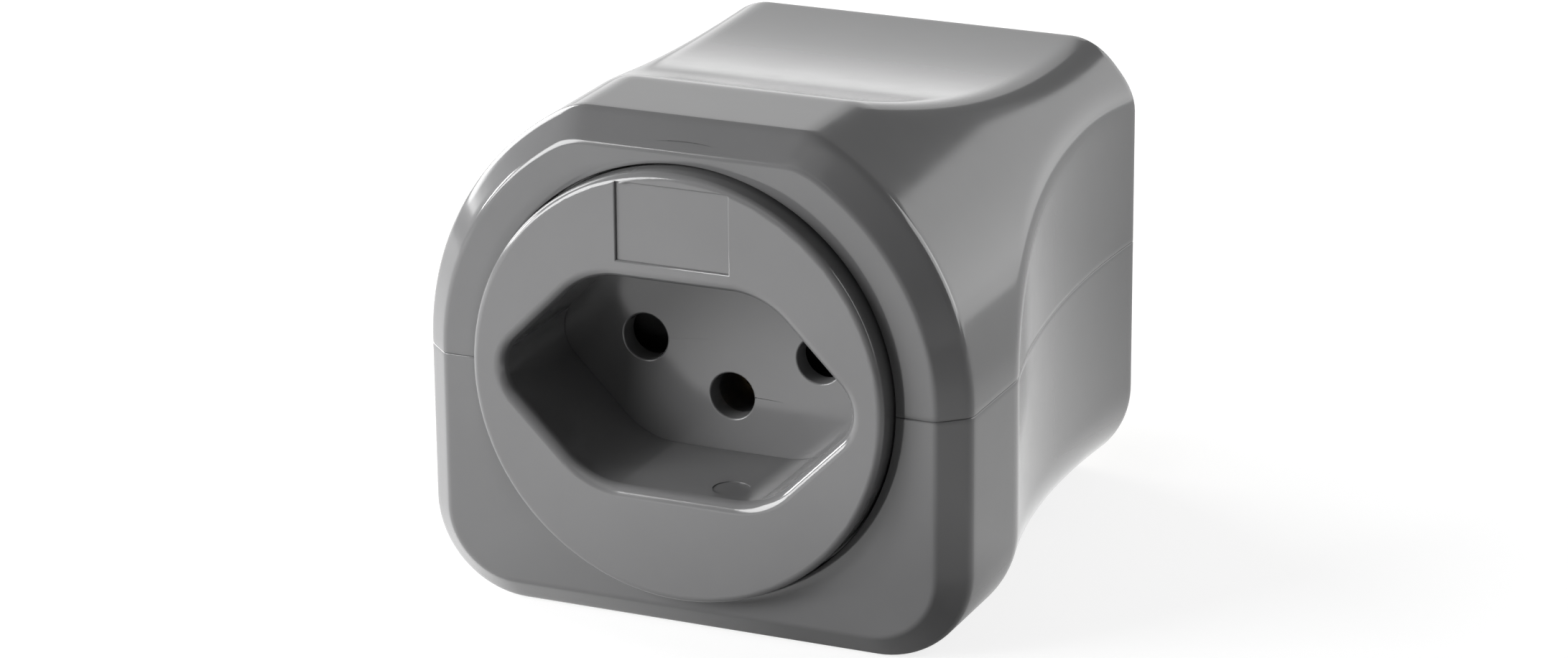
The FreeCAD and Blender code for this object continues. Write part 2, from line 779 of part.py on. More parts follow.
def contact_cover():
    """Insulating plate behind the sleeves' heads, with notches where the strips leave."""
    height = (block_base + cover_inset, cover_top)
    half_span = block_half_width - cover_inset
    tray = block_of((-half_span, half_span), (block_back, cover_back), height)
    room_x = (cover_rim - half_span, half_span - cover_rim)
    room_height = (height[0] + cover_rim, height[1] - cover_rim)
    half = 0.5 * strip_width + edge_gap
    outer = clip_x + 0.5 * clip_width + strip_thickness + edge_gap
    slot_x = (outer - strip_thickness - 2 * edge_gap, outer)
    screw_pads = [
        rod(x, place, small_head_radius, (block_back, cover_front)) for x, place in cover_screw_places
    ]
    room = block_of(room_x, (block_back, cover_front), room_height)
    cuts = [
        cut_by(room, screw_pads),
        block_of(slot_x, (block_back, body_depth), (-half, half)),
        block_of((-line_x - half, -line_x + half), (block_back, strip_back + edge_gap), (0, far)),
        block_of((-half, half), (block_back, strip_back + edge_gap), (-far, 0)),
    ]
    for x, place in ear_places:
        cuts.append(rod(x, place, small_head_radius + driver_gap, (block_back, body_depth)))
    for x, place in cover_screw_places:
        cuts.append(rod(x, place, small_screw_radius + screw_hole_gap, (block_back, body_depth)))
    return cut_by(tray, cuts)


# Plug


def terminal_hole(x, height):
    """Hole of a strip for a terminal screw."""
    return rod(x, height, small_screw_radius, (terminal_strip_front, terminal_depth))


def clip_rivet_hole(side):
    """Hole of a strip or clip for a clip rivet."""
    return rod(side * clip_x, 0, stud_radius, (terminal_strip_front, terminal_depth + strip_thickness))


def bar_between(x, height, width, tall, depth):
    """Rectangular bar along the depth around a centre."""
    across = (x - 0.5 * width, x + 0.5 * width)
    return block_of(across, depth, (height - 0.5 * tall, height + 0.5 * tall))


def blade(x, height, width, tall, depth):
    """Rectangular pin end with a chamfered tip."""
    body = bar_between(x, height, width, tall, depth)
    tip = edges_within(body, (depth[1] - edge_gap, depth[1] + edge_gap), (-far, far))
    return body.makeChamfer(pin_tip_chamfer, tip)


def live_pin(x):
    """Line or neutral pin: collar, root, thinner neck under its sleeve, and blade."""
    wide = plug_pin_width
    tall = plug_pin_thickness
    neck_start = body_depth - pin_sleeve_root
    neck_end = body_depth + pin_sleeve_length
    collar = bar_between(
        x, plug_pin_height, wide + 2 * pin_collar, tall + 2 * pin_collar, (terminal_depth, base_inner_depth)
    )
    root = bar_between(x, plug_pin_height, wide, tall, (terminal_depth, neck_start))
    neck_size = (wide - 2 * pin_sleeve_wall, tall - 2 * pin_sleeve_wall)
    neck = bar_between(x, plug_pin_height, neck_size[0], neck_size[1], (neck_start, neck_end))
    end = blade(x, plug_pin_height, wide, tall, (neck_end, body_depth + plug_pin_length))
    return joined((collar, root, neck, end)).cut(terminal_thread(x, plug_pin_height))


def terminal_thread(x, height):
    """Hole in a pin's inner end for its terminal screw."""
    return rod(x, height, small_screw_radius, (0, terminal_strip_front + terminal_screw_length + seat_gap))


def earth_pin():
    """Long upright earth pin with its collar."""
    tall = earth_pin_width
    wide = plug_pin_thickness
    collar = bar_between(
        0, earth_pin_height, wide + 2 * pin_collar, tall + 2 * pin_collar, (terminal_depth, base_inner_depth)
    )
    shank = blade(0, earth_pin_height, wide, tall, (terminal_depth, body_depth + earth_pin_length))
    return joined((collar, shank)).cut(terminal_thread(0, earth_pin_height))


def pin_sleeve(x):
    """Insulating sleeve over the inner part of a line or neutral pin."""
    span = (body_depth - pin_sleeve_root, body_depth + pin_sleeve_length)
    outside = bar_between(x, plug_pin_height, plug_pin_width, plug_pin_thickness, span)
    wall_twice = 2 * pin_sleeve_wall
    inside = bar_between(x, plug_pin_height, plug_pin_width - wall_twice, plug_pin_thickness - wall_twice, span)
    return outside.cut(inside)


def terminal_screws():
    """Three screws that hold the strips to the pins' inner ends."""
    screws = []
    for x, height in ((-plug_x, plug_pin_height), (plug_x, plug_pin_height), (0, earth_pin_height)):
        head = rod(
            x, height, small_head_radius, (terminal_strip_front - small_head_height, terminal_strip_front)
        )
        shank = rod(
            x, height, small_screw_radius, (terminal_strip_front, terminal_strip_front + terminal_screw_length)
        )
        half_slot = 0.15 * small_head_radius
        slot_floor = terminal_strip_front - 0.5 * small_head_height
        slot = block_of(
            (x - small_head_radius, x + small_head_radius), (0, slot_floor), (height - half_slot, height + half_slot)
        )
        screws.append(joined((head, shank)).cut(slot))
    return group(screws)


def plug_base():
    """Insulating base of the plug with its flange, the pins' openings and the fuse pocket."""
    height = (base_bottom, base_top)
    face = rounded_block(base_half_width, height, base_edge_radius, (base_inner_depth, body_depth))
    flange_height = (base_bottom - base_flange_overlap, base_top + base_flange_overlap)
    flange = rounded_block(
        base_half_width + base_flange_overlap, flange_height, base_edge_radius, (base_flange_front, base_flange_back)
    )
    body = joined((face, flange))
    span = (0, far)
    wide = plug_pin_width + 2 * seat_gap
    thin = plug_pin_thickness + 2 * seat_gap
    tall = earth_pin_width + 2 * seat_gap
    pocket_half = carrier_half_height + edge_gap
    cuts = (
        bar_between(plug_x, plug_pin_height, wide, thin, span),
        bar_between(-plug_x, plug_pin_height, wide, thin, span),
        bar_between(0, earth_pin_height, thin, tall, span),
        block_of((-pocket_x, pocket_x), (0, far), (-pocket_half, pocket_half)),
        block_of((-plate_x - edge_gap, plate_x + edge_gap), (carrier_seat, far), (-pocket_half, pocket_half)),
    )
    return cut_by(body, cuts)


# Fuse and carrier


def fuse_tube():
    """Ceramic tube of the fuse."""
    half = 0.5 * fuse_length - edge_gap
    tube = cross_rod(fuse_depth, 0, fuse_tube_radius, (-half, half))
    return tube.cut(cross_rod(fuse_depth, 0, 0.6 * fuse_tube_radius, (-half, half)))


def fuse_caps():
    """The two brass end caps, each a closed cup over the tube's end."""
    caps = []
    for side in (-1, 1):
        ends = sorted((side * 0.5 * fuse_length, side * (0.5 * fuse_length - fuse_cap_length)))
        cup = cross_rod(fuse_depth, 0, fuse_cap_radius, ends)
        inner = sorted((side * (0.5 * fuse_length - edge_gap), side * (0.5 * fuse_length - 2 * fuse_cap_length)))
        caps.append(cup.cut(cross_rod(fuse_depth, 0, fuse_tube_radius, inner)))
    return group(caps)


def fuse_clip(side):
    """Spring clip with two arms that hold one cap of the fuse, their ends bent outwards."""
    span = sorted((side * (clip_x - 0.5 * clip_width), side * (clip_x + 0.5 * clip_width)))
    grip = fuse_cap_radius + fuse_gap
    outer = grip + strip_thickness
    pieces = [block_of(span, (terminal_depth, terminal_depth + strip_thickness), (-outer, outer))]
    for sign in (-1, 1):
        pieces.append(block_of(span, (terminal_depth, clip_bend), sorted((sign * grip, sign * outer))))
        corners = [
            point(span[0], clip_bend, sign * grip),
            point(span[0], clip_bend, sign * outer),
            point(span[0], clip_bend + clip_flare, sign * (outer + clip_flare)),
            point(span[0], clip_bend + clip_flare, sign * (grip + clip_flare)),
        ]
        lip = Part.Face(Part.makePolygon(corners + [corners[0]]))
        pieces.append(lip.extrude(FreeCAD.Vector(clip_width, 0, 0)))
    return joined(pieces).cut(clip_rivet_hole(side))


def clip_rivets():
    """Two rivets that join the clips to their strips."""
    rivets = []
    for side in (-1, 1):
        x = side * clip_x
        clip_back = terminal_depth + strip_thickness
        shank = rod(x, 0, stud_radius, (terminal_strip_front - rivet_head_height, clip_back + rivet_head_height))
        front_head = rod(x, 0, rivet_head_radius, (terminal_strip_front - rivet_head_height, terminal_strip_front))
        back_head = rod(x, 0, rivet_head_radius, (clip_back, clip_back + rivet_head_height))
        rivets.append(joined((shank, front_head, back_head)))
    return group(rivets)


def fuse_carrier():
    """Pull-out carrier: outer plate, two end cheeks and a saddle that snaps round the fuse."""
    half = carrier_half_height
    plate = block_of((-plate_x, plate_x), (carrier_seat, body_depth), (-half, half))
    cheek_front = fuse_depth - fuse_cap_radius
    cheeks = [
        block_of((cheek_inner, cheek_inner + carrier_cheek), (cheek_front, carrier_seat), (-half, half)),
        block_of((-cheek_inner - carrier_cheek, -cheek_inner), (cheek_front, carrier_seat), (-half, half)),
    ]
    saddle = block_of((-saddle_half_width, saddle_half_width), (fuse_depth - saddle_wrap, carrier_seat), (-half, half))
    fuse_room = cross_rod(fuse_depth, 0, fuse_tube_radius + seat_gap, (-saddle_half_width, saddle_half_width))
    notch = rod(plate_x, 0, pry_notch_radius, (body_depth - 0.5 * carrier_plate, body_depth))
    return cut_by(joined([plate, saddle] + cheeks), (fuse_room, notch))


# Every node and the shape that it holds

nodes = {
    "upper_housing": upper_housing(),
    "lower_housing": lower_housing(),
    "housing_screws": housing_screws(),
    "socket_insert": socket_insert(),
    "socket_floor": floor_plate(),
    "shutter": shutter(),
    "shutter_spring": shutter_spring(),
    "contact_block": contact_block(),
    "block_screws": small_screws(ear_places, floor_back + ear_thickness, block_screw_length),
    "line_contact": contact_sleeve(line_x, 0),
    "neutral_contact": contact_sleeve(-line_x, 0),
    "earth_contact": contact_sleeve(0, -earth_drop),
    "line_contact_ring": clamp_ring(line_x, 0),
    "neutral_contact_ring": clamp_ring(-line_x, 0),
    "earth_contact_ring": clamp_ring(0, -earth_drop),
    "contact_cover": contact_cover(),
    "cover_screws": small_screws(cover_screw_places, cover_back, cover_screw_length),
    "load_strip": load_strip(),
    "neutral_strip": neutral_strip(),
    "earth_strip": earth_strip(),
    "supply_strip": supply_strip(),
    "load_fuse_clip": fuse_clip(1),
    "supply_fuse_clip": fuse_clip(-1),
    "clip_rivets": clip_rivets(),
    "fuse_tube": fuse_tube(),
    "fuse_caps": fuse_caps(),
    "fuse_carrier": fuse_carrier(),
    "plug_base": plug_base(),
    "line_pin": live_pin(-plug_x),
    "neutral_pin": live_pin(plug_x),
    "earth_pin": earth_pin(),
    "line_pin_sleeve": pin_sleeve(-plug_x),
    "neutral_pin_sleeve": pin_sleeve(plug_x),
    "terminal_screws": terminal_screws(),
}

os.makedirs("parts", exist_ok=True)
for name, shape in nodes.items():
    shape.exportStep("parts/" + name + ".step")
    volume = round(shape.Volume, 1)
    print(name, "solids", len(shape.Solids), "valid", shape.isValid(), "volume", volume)
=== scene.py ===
"""Travel adapter: the dressed pieces, their finishes and the studio around them."""

import json
import math

import bmesh
import bpy
import numpy as np
from bpy.props import FloatProperty, FloatVectorProperty, IntProperty, PointerProperty
from mathutils import Matrix, Vector

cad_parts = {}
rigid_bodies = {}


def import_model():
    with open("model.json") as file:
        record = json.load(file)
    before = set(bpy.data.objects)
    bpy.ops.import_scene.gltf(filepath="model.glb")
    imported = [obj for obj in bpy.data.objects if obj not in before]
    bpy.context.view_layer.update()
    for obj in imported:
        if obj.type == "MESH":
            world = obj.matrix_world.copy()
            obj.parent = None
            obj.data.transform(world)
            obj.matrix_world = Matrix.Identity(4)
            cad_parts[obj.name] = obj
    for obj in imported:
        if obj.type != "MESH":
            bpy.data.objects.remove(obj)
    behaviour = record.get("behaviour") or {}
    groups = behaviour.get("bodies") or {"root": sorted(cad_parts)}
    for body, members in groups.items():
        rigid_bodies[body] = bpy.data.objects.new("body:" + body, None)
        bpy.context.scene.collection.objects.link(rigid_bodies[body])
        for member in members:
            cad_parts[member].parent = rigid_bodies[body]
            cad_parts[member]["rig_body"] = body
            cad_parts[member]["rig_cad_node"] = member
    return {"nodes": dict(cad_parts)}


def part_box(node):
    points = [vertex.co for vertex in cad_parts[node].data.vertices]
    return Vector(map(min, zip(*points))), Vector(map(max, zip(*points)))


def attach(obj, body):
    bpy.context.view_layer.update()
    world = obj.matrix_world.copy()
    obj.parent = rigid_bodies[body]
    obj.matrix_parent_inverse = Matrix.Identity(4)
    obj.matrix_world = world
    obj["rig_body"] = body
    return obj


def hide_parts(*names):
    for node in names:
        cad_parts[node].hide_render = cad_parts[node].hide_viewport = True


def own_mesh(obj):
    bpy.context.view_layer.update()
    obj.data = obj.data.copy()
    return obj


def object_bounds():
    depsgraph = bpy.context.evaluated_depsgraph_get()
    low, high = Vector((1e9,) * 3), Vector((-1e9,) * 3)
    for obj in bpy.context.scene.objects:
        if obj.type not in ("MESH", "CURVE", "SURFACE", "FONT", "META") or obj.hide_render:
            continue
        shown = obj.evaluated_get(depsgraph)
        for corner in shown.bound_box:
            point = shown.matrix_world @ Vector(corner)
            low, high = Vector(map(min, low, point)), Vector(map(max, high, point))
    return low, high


bl_info = {
    "name": "Travel adapter",
    "version": (1, 0, 0),
    "blender": (4, 5, 0),
    "location": "3D View > Sidebar > Adapter",
    "description": "Models and finishes the visible pieces of a travel adapter and its studio",
    "category": "Object",
}

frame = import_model()
cad_low, cad_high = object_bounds()

MM = 0.001
HOUSING = "housing"
CARRIER = "fuse_carrier"

# Depth of the disc's face and height of the socket's centre, from which places are measured
FRONT = cad_low.y
SOCKET_HEIGHT = 26.65 * MM
AXIS = cad_low.z + SOCKET_HEIGHT

# Points nearer than this are one point
MEETING = 0.002 * MM

# Keeps a length above zero and a cosine below one
TINY = 1e-9

# Angles in degrees above which an edge is shaded sharp, on most pieces, on the recess floor and
# on the coil
SHARP = 40.0
FLOOR_SHARP = 35.0
COIL_SHARP = 60.0

# Angles in degrees above which an edge is rounded, and below which two faces are one flat face
ROUNDED = 35.0
FLAT = 0.5


# Sizes and colours that a user would change


def size_of(label, text, millimetres):
    """Length property with its default in millimetres."""
    default = millimetres * MM
    return FloatProperty(
        name=label, description=text, default=default, unit="LENGTH", precision=5
    )


def colour_of(label, text, value):
    """Colour property."""
    return FloatVectorProperty(
        name=label, description=text, default=value, subtype="COLOR", min=0.0, max=1.0
    )


class AdapterSizes(bpy.types.PropertyGroup):
    """Sizes of the modelled pieces."""

    half_width: size_of("Half width", "Half width of the housing's front part", 29.3)
    top_height: size_of("Top height", "Height of the flat top above the socket's centre", 26.35)
    base_depth: size_of("Base depth", "Depth of the flat base below the socket's centre", 26.65)
    corner_radius: size_of("Lower corners", "Radius of the two long lower edges", 10.0)
    side_waist: size_of("Side waist", "Half width at the deepest place of the side scoops", 24.35)
    top_waist: size_of("Top waist", "Height at the deepest place of the top scoop", 21.25)
    scoop_radius: size_of("Scoop radius", "Radius of the three finger scoops", 131.0)
    scoop_middle: size_of(
        "Scoop middle", "Distance from the disc's face to the deepest place of the scoops", 53.0
    )
    scoop_blend: size_of(
        "Scoop blend", "Radius of the soft edges round the scoops and the flat top", 7.0
    )
    body_depth: size_of("Body depth", "Distance from the disc's face to the rear face", 63.0)
    face_depth: size_of(
        "Face depth", "Distance from the disc's face to the housing's front face", 2.6
    )
    chamfer_width: size_of("Chamfer width", "Width of the front chamfer seen from the front", 2.8)
    chamfer_depth: size_of("Chamfer depth", "Depth of the front chamfer", 2.6)
    face_round: size_of("Face edge", "Radius between the front face and its chamfer", 1.0)
    shoulder_round: size_of("Shoulder edge", "Radius between the chamfer and the sides", 1.6)
    rear_round: size_of("Rear edge", "Radius around the rear face", 0.8)
    wall: size_of("Wall", "Thickness of the housing's wall", 2.2)
    parting: size_of("Parting line", "Height of the parting line above the socket's centre", -0.4)
    parting_groove: size_of("Parting groove", "Radius of the edges at the parting line", 0.13)
    disc_radius: size_of("Disc radius", "Radius of the socket's disc", 22.1)
    disc_round: size_of("Disc edge", "Radius of the disc's front edge", 0.75)
    disc_gap: size_of("Disc gap", "Gap around the disc", 0.2)
    recess_depth: size_of("Recess depth", "Depth of the socket's recess", 13.7)
    recess_height: size_of("Recess half height", "Half height of the recess", 10.8)
    recess_width: size_of(
        "Recess half width", "Half width of the recess at its unrounded tips", 20.2
    )
    lip_round: size_of("Lip", "Radius of the recess's front edge", 1.2)
    foot_round: size_of("Recess foot", "Radius of the recess wall's inner end, at the floor", 0.15)
    hole_radius: size_of("Pin hole", "Radius of the holes in the recess floor", 2.4)


class AdapterFinishes(bpy.types.PropertyGroup):
    """Colours and gloss of the finishes."""

    housing: colour_of("Housing", "Grey of the housing", (0.136, 0.136, 0.138))
    insert: colour_of("Socket insert", "Grey of the disc and its recess", (0.160, 0.160, 0.162))
    inner: colour_of(
        "Inner plastic", "Colour of the hidden insulating pieces", (0.022, 0.022, 0.024)
    )
    sleeve: colour_of(
        "Pin sleeves", "Colour of the sleeves on the flat pins", (0.012, 0.012, 0.013)
    )
    pin: colour_of("Pins", "Colour of the flat pins", (0.76, 0.62, 0.36))
    brass: colour_of("Brass", "Colour of the inner strips and contacts", (0.72, 0.55, 0.27))
    steel: colour_of("Steel", "Colour of screws, rings and the spring", (0.55, 0.56, 0.58))
    gloss: FloatProperty(
        name="Gloss",
        description="Roughness of the moulded plastic",
        default=0.12,
        min=0.05,
        max=1.0,
    )
    columns: IntProperty(
        name="Columns", description="Columns of a pressed sheet over half a turn", default=180
    )


def sizes():
    """The scene's sizes."""
    return bpy.context.scene.adapter_sizes


def finishes():
    """The scene's finishes."""
    return bpy.context.scene.adapter_finishes


# Finishes


def new_finish(name):
    """Empty finish with its shader."""
    finish = bpy.data.materials.new(name)
    finish.use_nodes = True
    return finish, finish.node_tree, finish.node_tree.nodes["Principled BSDF"]


def add_node(tree, kind, **values):
    """One node with its sockets set by name."""
    node = tree.nodes.new(kind)
    for key, value in values.items():
        node.inputs[key.replace("_", " ")].default_value = value
    return node


def object_noise(tree, scale, detail, stretch=(1.0, 1.0, 1.0)):
    """Noise on the object's own coordinates."""
    place = tree.nodes.new("ShaderNodeTexCoord")
    turn = tree.nodes.new("ShaderNodeMapping")
    turn.inputs["Scale"].default_value = stretch
    noise = add_node(tree, "ShaderNodeTexNoise", Scale=scale, Detail=detail, Roughness=0.55)
    tree.links.new(place.outputs["Object"], turn.inputs["Vector"])
    tree.links.new(turn.outputs["Vector"], noise.inputs["Vector"])
    return noise.outputs["Fac"]


def ranged(tree, value, low, high, from_low=0.3, from_high=0.7):
    """Value brought from one range to another."""
    node = add_node(
        tree, "ShaderNodeMapRange", From_Min=from_low, From_Max=from_high, To_Min=low, To_Max=high
    )
    tree.links.new(value, node.inputs["Value"])
    return node.outputs["Result"]


def shade_of(colour, factor):
    """Colour made lighter or darker."""
    return tuple(min(1.0, part * factor) for part in colour) + (1.0,)


def coloured(tree, value, colour, spread, shader):
    """Colour that wanders by a share round its mean."""
    ramp = tree.nodes.new("ShaderNodeValToRGB")
    ramp.color_ramp.elements[0].position = 0.3
    ramp.color_ramp.elements[1].position = 0.7
    ramp.color_ramp.elements[0].color = shade_of(colour, 1 - spread)
    ramp.color_ramp.elements[1].color = shade_of(colour, 1 + spread)
    tree.links.new(value, ramp.inputs["Fac"])
    tree.links.new(ramp.outputs["Color"], shader.inputs["Base Color"])


def bumped(tree, value, shader, distance, strength):
    """Bump from a value, with its greatest height and its strength."""
    bump = add_node(tree, "ShaderNodeBump", Strength=strength, Distance=distance)
    tree.links.new(value, bump.inputs["Height"])
    tree.links.new(bump.outputs["Normal"], shader.inputs["Normal"])


def moulded_plastic(name, colour, roughness):
    """Glossy moulded plastic: faint cloudiness, a polish that varies and fine orange peel."""
    finish, tree, shader = new_finish(name)
    cloud = object_noise(tree, scale=90.0, detail=3.0)
    coloured(tree, cloud, colour, 0.03, shader)
    polish = object_noise(tree, scale=240.0, detail=3.0)
    polish = ranged(tree, polish, roughness * 0.85, roughness * 1.2)
    tree.links.new(polish, shader.inputs["Roughness"])
    peel = object_noise(tree, scale=240.0, detail=1.0)
    bumped(tree, peel, shader, distance=0.02 * MM, strength=0.12)
    shader.inputs["IOR"].default_value = 1.5
    return finish


def matt_plastic(name, colour):
    """Matt moulded plastic with a fine spark-eroded grain."""
    finish, tree, shader = new_finish(name)
    coloured(tree, object_noise(tree, scale=200.0, detail=3.0), colour, 0.08, shader)
    polish = ranged(tree, object_noise(tree, scale=900.0, detail=3.0), 0.45, 0.62)
    tree.links.new(polish, shader.inputs["Roughness"])
    grain = object_noise(tree, scale=2600.0, detail=3.0)
    bumped(tree, grain, shader, distance=0.04 * MM, strength=0.35)
    return finish


def drawn_metal(name, colour, roughness, along=(1.0, 0.015, 1.0)):
    """Metal with fine marks of drawing along one direction."""
    finish, tree, shader = new_finish(name)
    coloured(tree, object_noise(tree, scale=120.0, detail=2.0), colour, 0.03, shader)
    marks = object_noise(tree, scale=4200.0, detail=2.0, stretch=along)
    polish = ranged(tree, marks, roughness * 0.9, roughness * 1.15)
    tree.links.new(polish, shader.inputs["Roughness"])
    bumped(tree, marks, shader, distance=0.005 * MM, strength=0.12)
    shader.inputs["Metallic"].default_value = 1.0
    return finish


def fired_ceramic(name):
    """White fired ceramic with faint specks."""
    finish, tree, shader = new_finish(name)
    coloured(tree, object_noise(tree, scale=1200.0, detail=5.0), (0.78, 0.76, 0.70), 0.06, shader)
    polish = ranged(tree, object_noise(tree, scale=700.0, detail=2.0), 0.4, 0.55)
    tree.links.new(polish, shader.inputs["Roughness"])
    grain = object_noise(tree, scale=2200.0, detail=3.0)
    bumped(tree, grain, shader, distance=0.03 * MM, strength=0.3)
    return finish


def finish_named(name):
    """Finish by its name, made at its first use."""
    ready = bpy.data.materials.get(name)
    if ready is not None:
        return ready
    look = finishes()
    if name == "housing_grey":
        return moulded_plastic(name, look.housing, look.gloss)
    if name == "insert_grey":
        return moulded_plastic(name, look.insert, look.gloss * 1.1)
    if name == "shutter_black":
        return matt_plastic(name, (0.008, 0.008, 0.008))
    if name == "inner_black":
        return matt_plastic(name, look.inner)
    if name == "sleeve_black":
        return matt_plastic(name, look.sleeve)
    if name == "pin_brass":
        return drawn_metal(name, look.pin, 0.22)
    if name == "strip_brass":
        return drawn_metal(name, look.brass, 0.3)
    if name == "tinned_clip":
        return drawn_metal(name, (0.70, 0.69, 0.66), 0.28)
    if name == "zinc_steel":
        return drawn_metal(name, look.steel, 0.3, (1.0, 1.0, 0.015))
    if name == "plated_cap":
        return drawn_metal(name, (0.76, 0.76, 0.77), 0.18, (0.015, 1.0, 1.0))
    return fired_ceramic(name)


def give_finish(piece, name):
    """Gives a piece one finish all over."""
    piece.data.materials.clear()
    piece.data.materials.append(finish_named(name))


# Small modelling steps


def only(piece):
    """Selects one object and makes it active."""
    bpy.ops.object.select_all(action="DESELECT")
    piece.select_set(True)
    bpy.context.view_layer.objects.active = piece


def added(name):
    """The primitive that was just added, with its name."""
    piece = bpy.context.active_object
    piece.name = name
    piece.data.name = name
    return piece


def settle(piece):
    """Puts the place, turn and size of an object into its mesh."""
    only(piece)
    bpy.ops.object.transform_apply(location=True, rotation=True, scale=True)
    return piece


def apply_modifier(piece, kind, **values):
    """Adds a modifier, sets it and applies it."""
    only(piece)
    bpy.ops.object.modifier_add(type=kind)
    modifier = piece.modifiers[-1]
    for key, value in values.items():
        setattr(modifier, key, value)
    bpy.ops.object.modifier_apply(modifier=modifier.name)
    return piece


def bar_of(name, x, depth, height, radius, length, direction, sides=64):
    """Round bar from a start along a direction: depth or height."""
    middle = [x, FRONT + depth, AXIS + height]
    turn = (0.0, 0.0, 0.0)
    if direction == "depth":
        middle[1] += 0.5 * length
        turn = (0.5 * math.pi, 0.0, 0.0)
    else:
        middle[2] += 0.5 * length
    bpy.ops.object.select_all(action="DESELECT")
    bpy.ops.mesh.primitive_cylinder_add(
        vertices=sides, radius=radius, depth=length, location=middle, rotation=turn
    )
    return settle(added(name))


def box_of(name, x, depth, height):
    """Box between a low and a high value of each direction."""
    low = Vector((x[0], FRONT + depth[0], AXIS + height[0]))
    high = Vector((x[1], FRONT + depth[1], AXIS + height[1]))
    bpy.ops.object.select_all(action="DESELECT")
    bpy.ops.mesh.primitive_cube_add(size=1.0, location=(low + high) / 2, scale=high - low)
    return settle(added(name))


def combine(piece, tool, operation):
    """Joins a tool to a piece or cuts the piece with it, and removes the tool."""
    apply_modifier(piece, "BOOLEAN", object=tool, operation=operation, solver="EXACT")
    bpy.data.objects.remove(tool)


def smooth_by_angle(piece, degrees):
    """Smooth shading, with sharp edges above an angle."""
    only(piece)
    angle = math.radians(degrees)
    bpy.ops.object.shade_smooth_by_angle(angle=angle, keep_sharp_edges=False)
    return piece


def even_normals(piece):
    """Lets large faces set the shading of their edges."""
    return apply_modifier(piece, "WEIGHTED_NORMAL", keep_sharp=True, weight=80)


def finished(piece, finish, slot, body, *nodes):
    """Gives a piece its finish and its body, and hides the nodes that it stands for."""
    give_finish(piece, finish)
    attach(piece, body)
    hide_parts(*nodes)


def pressed_grid(name, places):
    """Grid primitive whose points are pressed to places in rows and columns."""
    rows, columns = places.shape[:2]
    bpy.ops.object.select_all(action="DESELECT")
    bpy.ops.mesh.primitive_grid_add(
        x_subdivisions=columns - 1, y_subdivisions=rows - 1, size=2.0
    )
    piece = added(name)
    flat = np.zeros(rows * columns * 3)
    piece.data.vertices.foreach_get("co", flat)
    flat = flat.reshape(-1, 3)
    column = np.rint((flat[:, 0] + 1) * 0.5 * (columns - 1)).astype(int)
    row = np.rint((flat[:, 1] + 1) * 0.5 * (rows - 1)).astype(int)
    piece.data.vertices.foreach_set("co", places[row, column].reshape(-1))
    piece.data.update()
    return piece


def edited(piece, *steps):
    """Runs steps of mesh editing on the whole of a piece, each given as name and values."""
    only(piece)
    bpy.ops.object.mode_set(mode="EDIT")
    bpy.ops.mesh.select_all(action="SELECT")
    for name, values in steps:
        getattr(bpy.ops.mesh, name)(**values)
    bpy.ops.object.mode_set(mode="OBJECT")
    return piece


def closed_up(piece):
    """Merges the points that meet and turns all faces outwards."""
    return edited(
        piece,
        ("remove_doubles", {"threshold": MEETING}),
        ("normals_make_consistent", {"inside": False}),
    )


def make_whole(piece):
    """Makes flat faces whole again."""
    return edited(
        piece,
        ("remove_doubles", {"threshold": MEETING}),
        ("dissolve_limited", {"angle_limit": math.radians(FLAT)}),
    )


def copy_of(node, name):
    """Free copy of a node."""
    only(frame["nodes"][node])
    bpy.ops.object.duplicate(linked=False)
    piece = added(name)
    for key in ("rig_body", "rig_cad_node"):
        del piece[key]
    piece.parent = None
    return piece


def softened_copy(node, name, width):
    """Copy of a node with its flat faces made whole again and its edges rounded."""
    piece = make_whole(copy_of(node, name))
    apply_modifier(
        piece,
        "BEVEL",
        width=width,
        segments=3,
        limit_method="ANGLE",
        angle_limit=math.radians(ROUNDED),
        use_clamp_overlap=True,
    )
    smooth_by_angle(piece, SHARP)
    return even_normals(piece)


# Housing


# Least blend of two faces that meet without a kink
LEAST_BLEND = 0.02 * MM

# How near to and far from the parting line's middle the outlines can lie, and how often this
# range is halved
NEAREST = 4.0 * MM
FURTHEST = 48.0 * MM
HALVINGS = 44

# The rear opening: how far the wall covers the plug base's flange, the gap round the base, and
# the corners' radius
FLANGE_COVER = 1.5 * MM
OPENING_GAP = 0.1 * MM
OPENING_CORNER = 4.0 * MM

# Rows of points: how far they run on over the front and the rear face, their spacing, and the
# steps round an edge
FRONT_LAP = 0.5 * MM
REAR_LAP = 2.5 * MM
ROW_STEP = 0.6 * MM
FILLET_STEPS = 6

# Depth of the front hole's wall, and the radius of the edges of the hole and the opening
HOLE_WALL = 2.6 * MM
HOLE_EDGE = 0.25 * MM

# Screw posts, recesses and bores: heights from the socket's centre, lengths and radii
SCREW_SEAT = -16.0 * MM
POST_FOOT = -22.0 * MM
POST_LENGTH = 7.1 * MM
POST_RADIUS = 4.2 * MM
POST_INSET = 1.1 * MM
RECESS_FOOT = -30.0 * MM
RECESS_RADIUS = 3.1 * MM
BORE_LENGTH = 4.0 * MM
BORE_RADIUS = 1.6 * MM

# The underside lies above this height
LOWEST_FLOOR = -40.0 * MM


def soft_larger(first, second, width):
    """Larger of two distances, blended over a width."""
    reach = np.maximum(width - np.abs(first - second), 0.0)
    return np.maximum(first, second) + reach * reach / (4.0 * width)


def round_larger(first, second, radius):
    """Larger of two distances, with a true radius where two faces meet squarely."""
    a = first + radius
    b = second + radius
    outside = np.hypot(np.maximum(a, 0.0), np.maximum(b, 0.0))
    return outside + np.minimum(np.maximum(a, b), 0.0) - radius


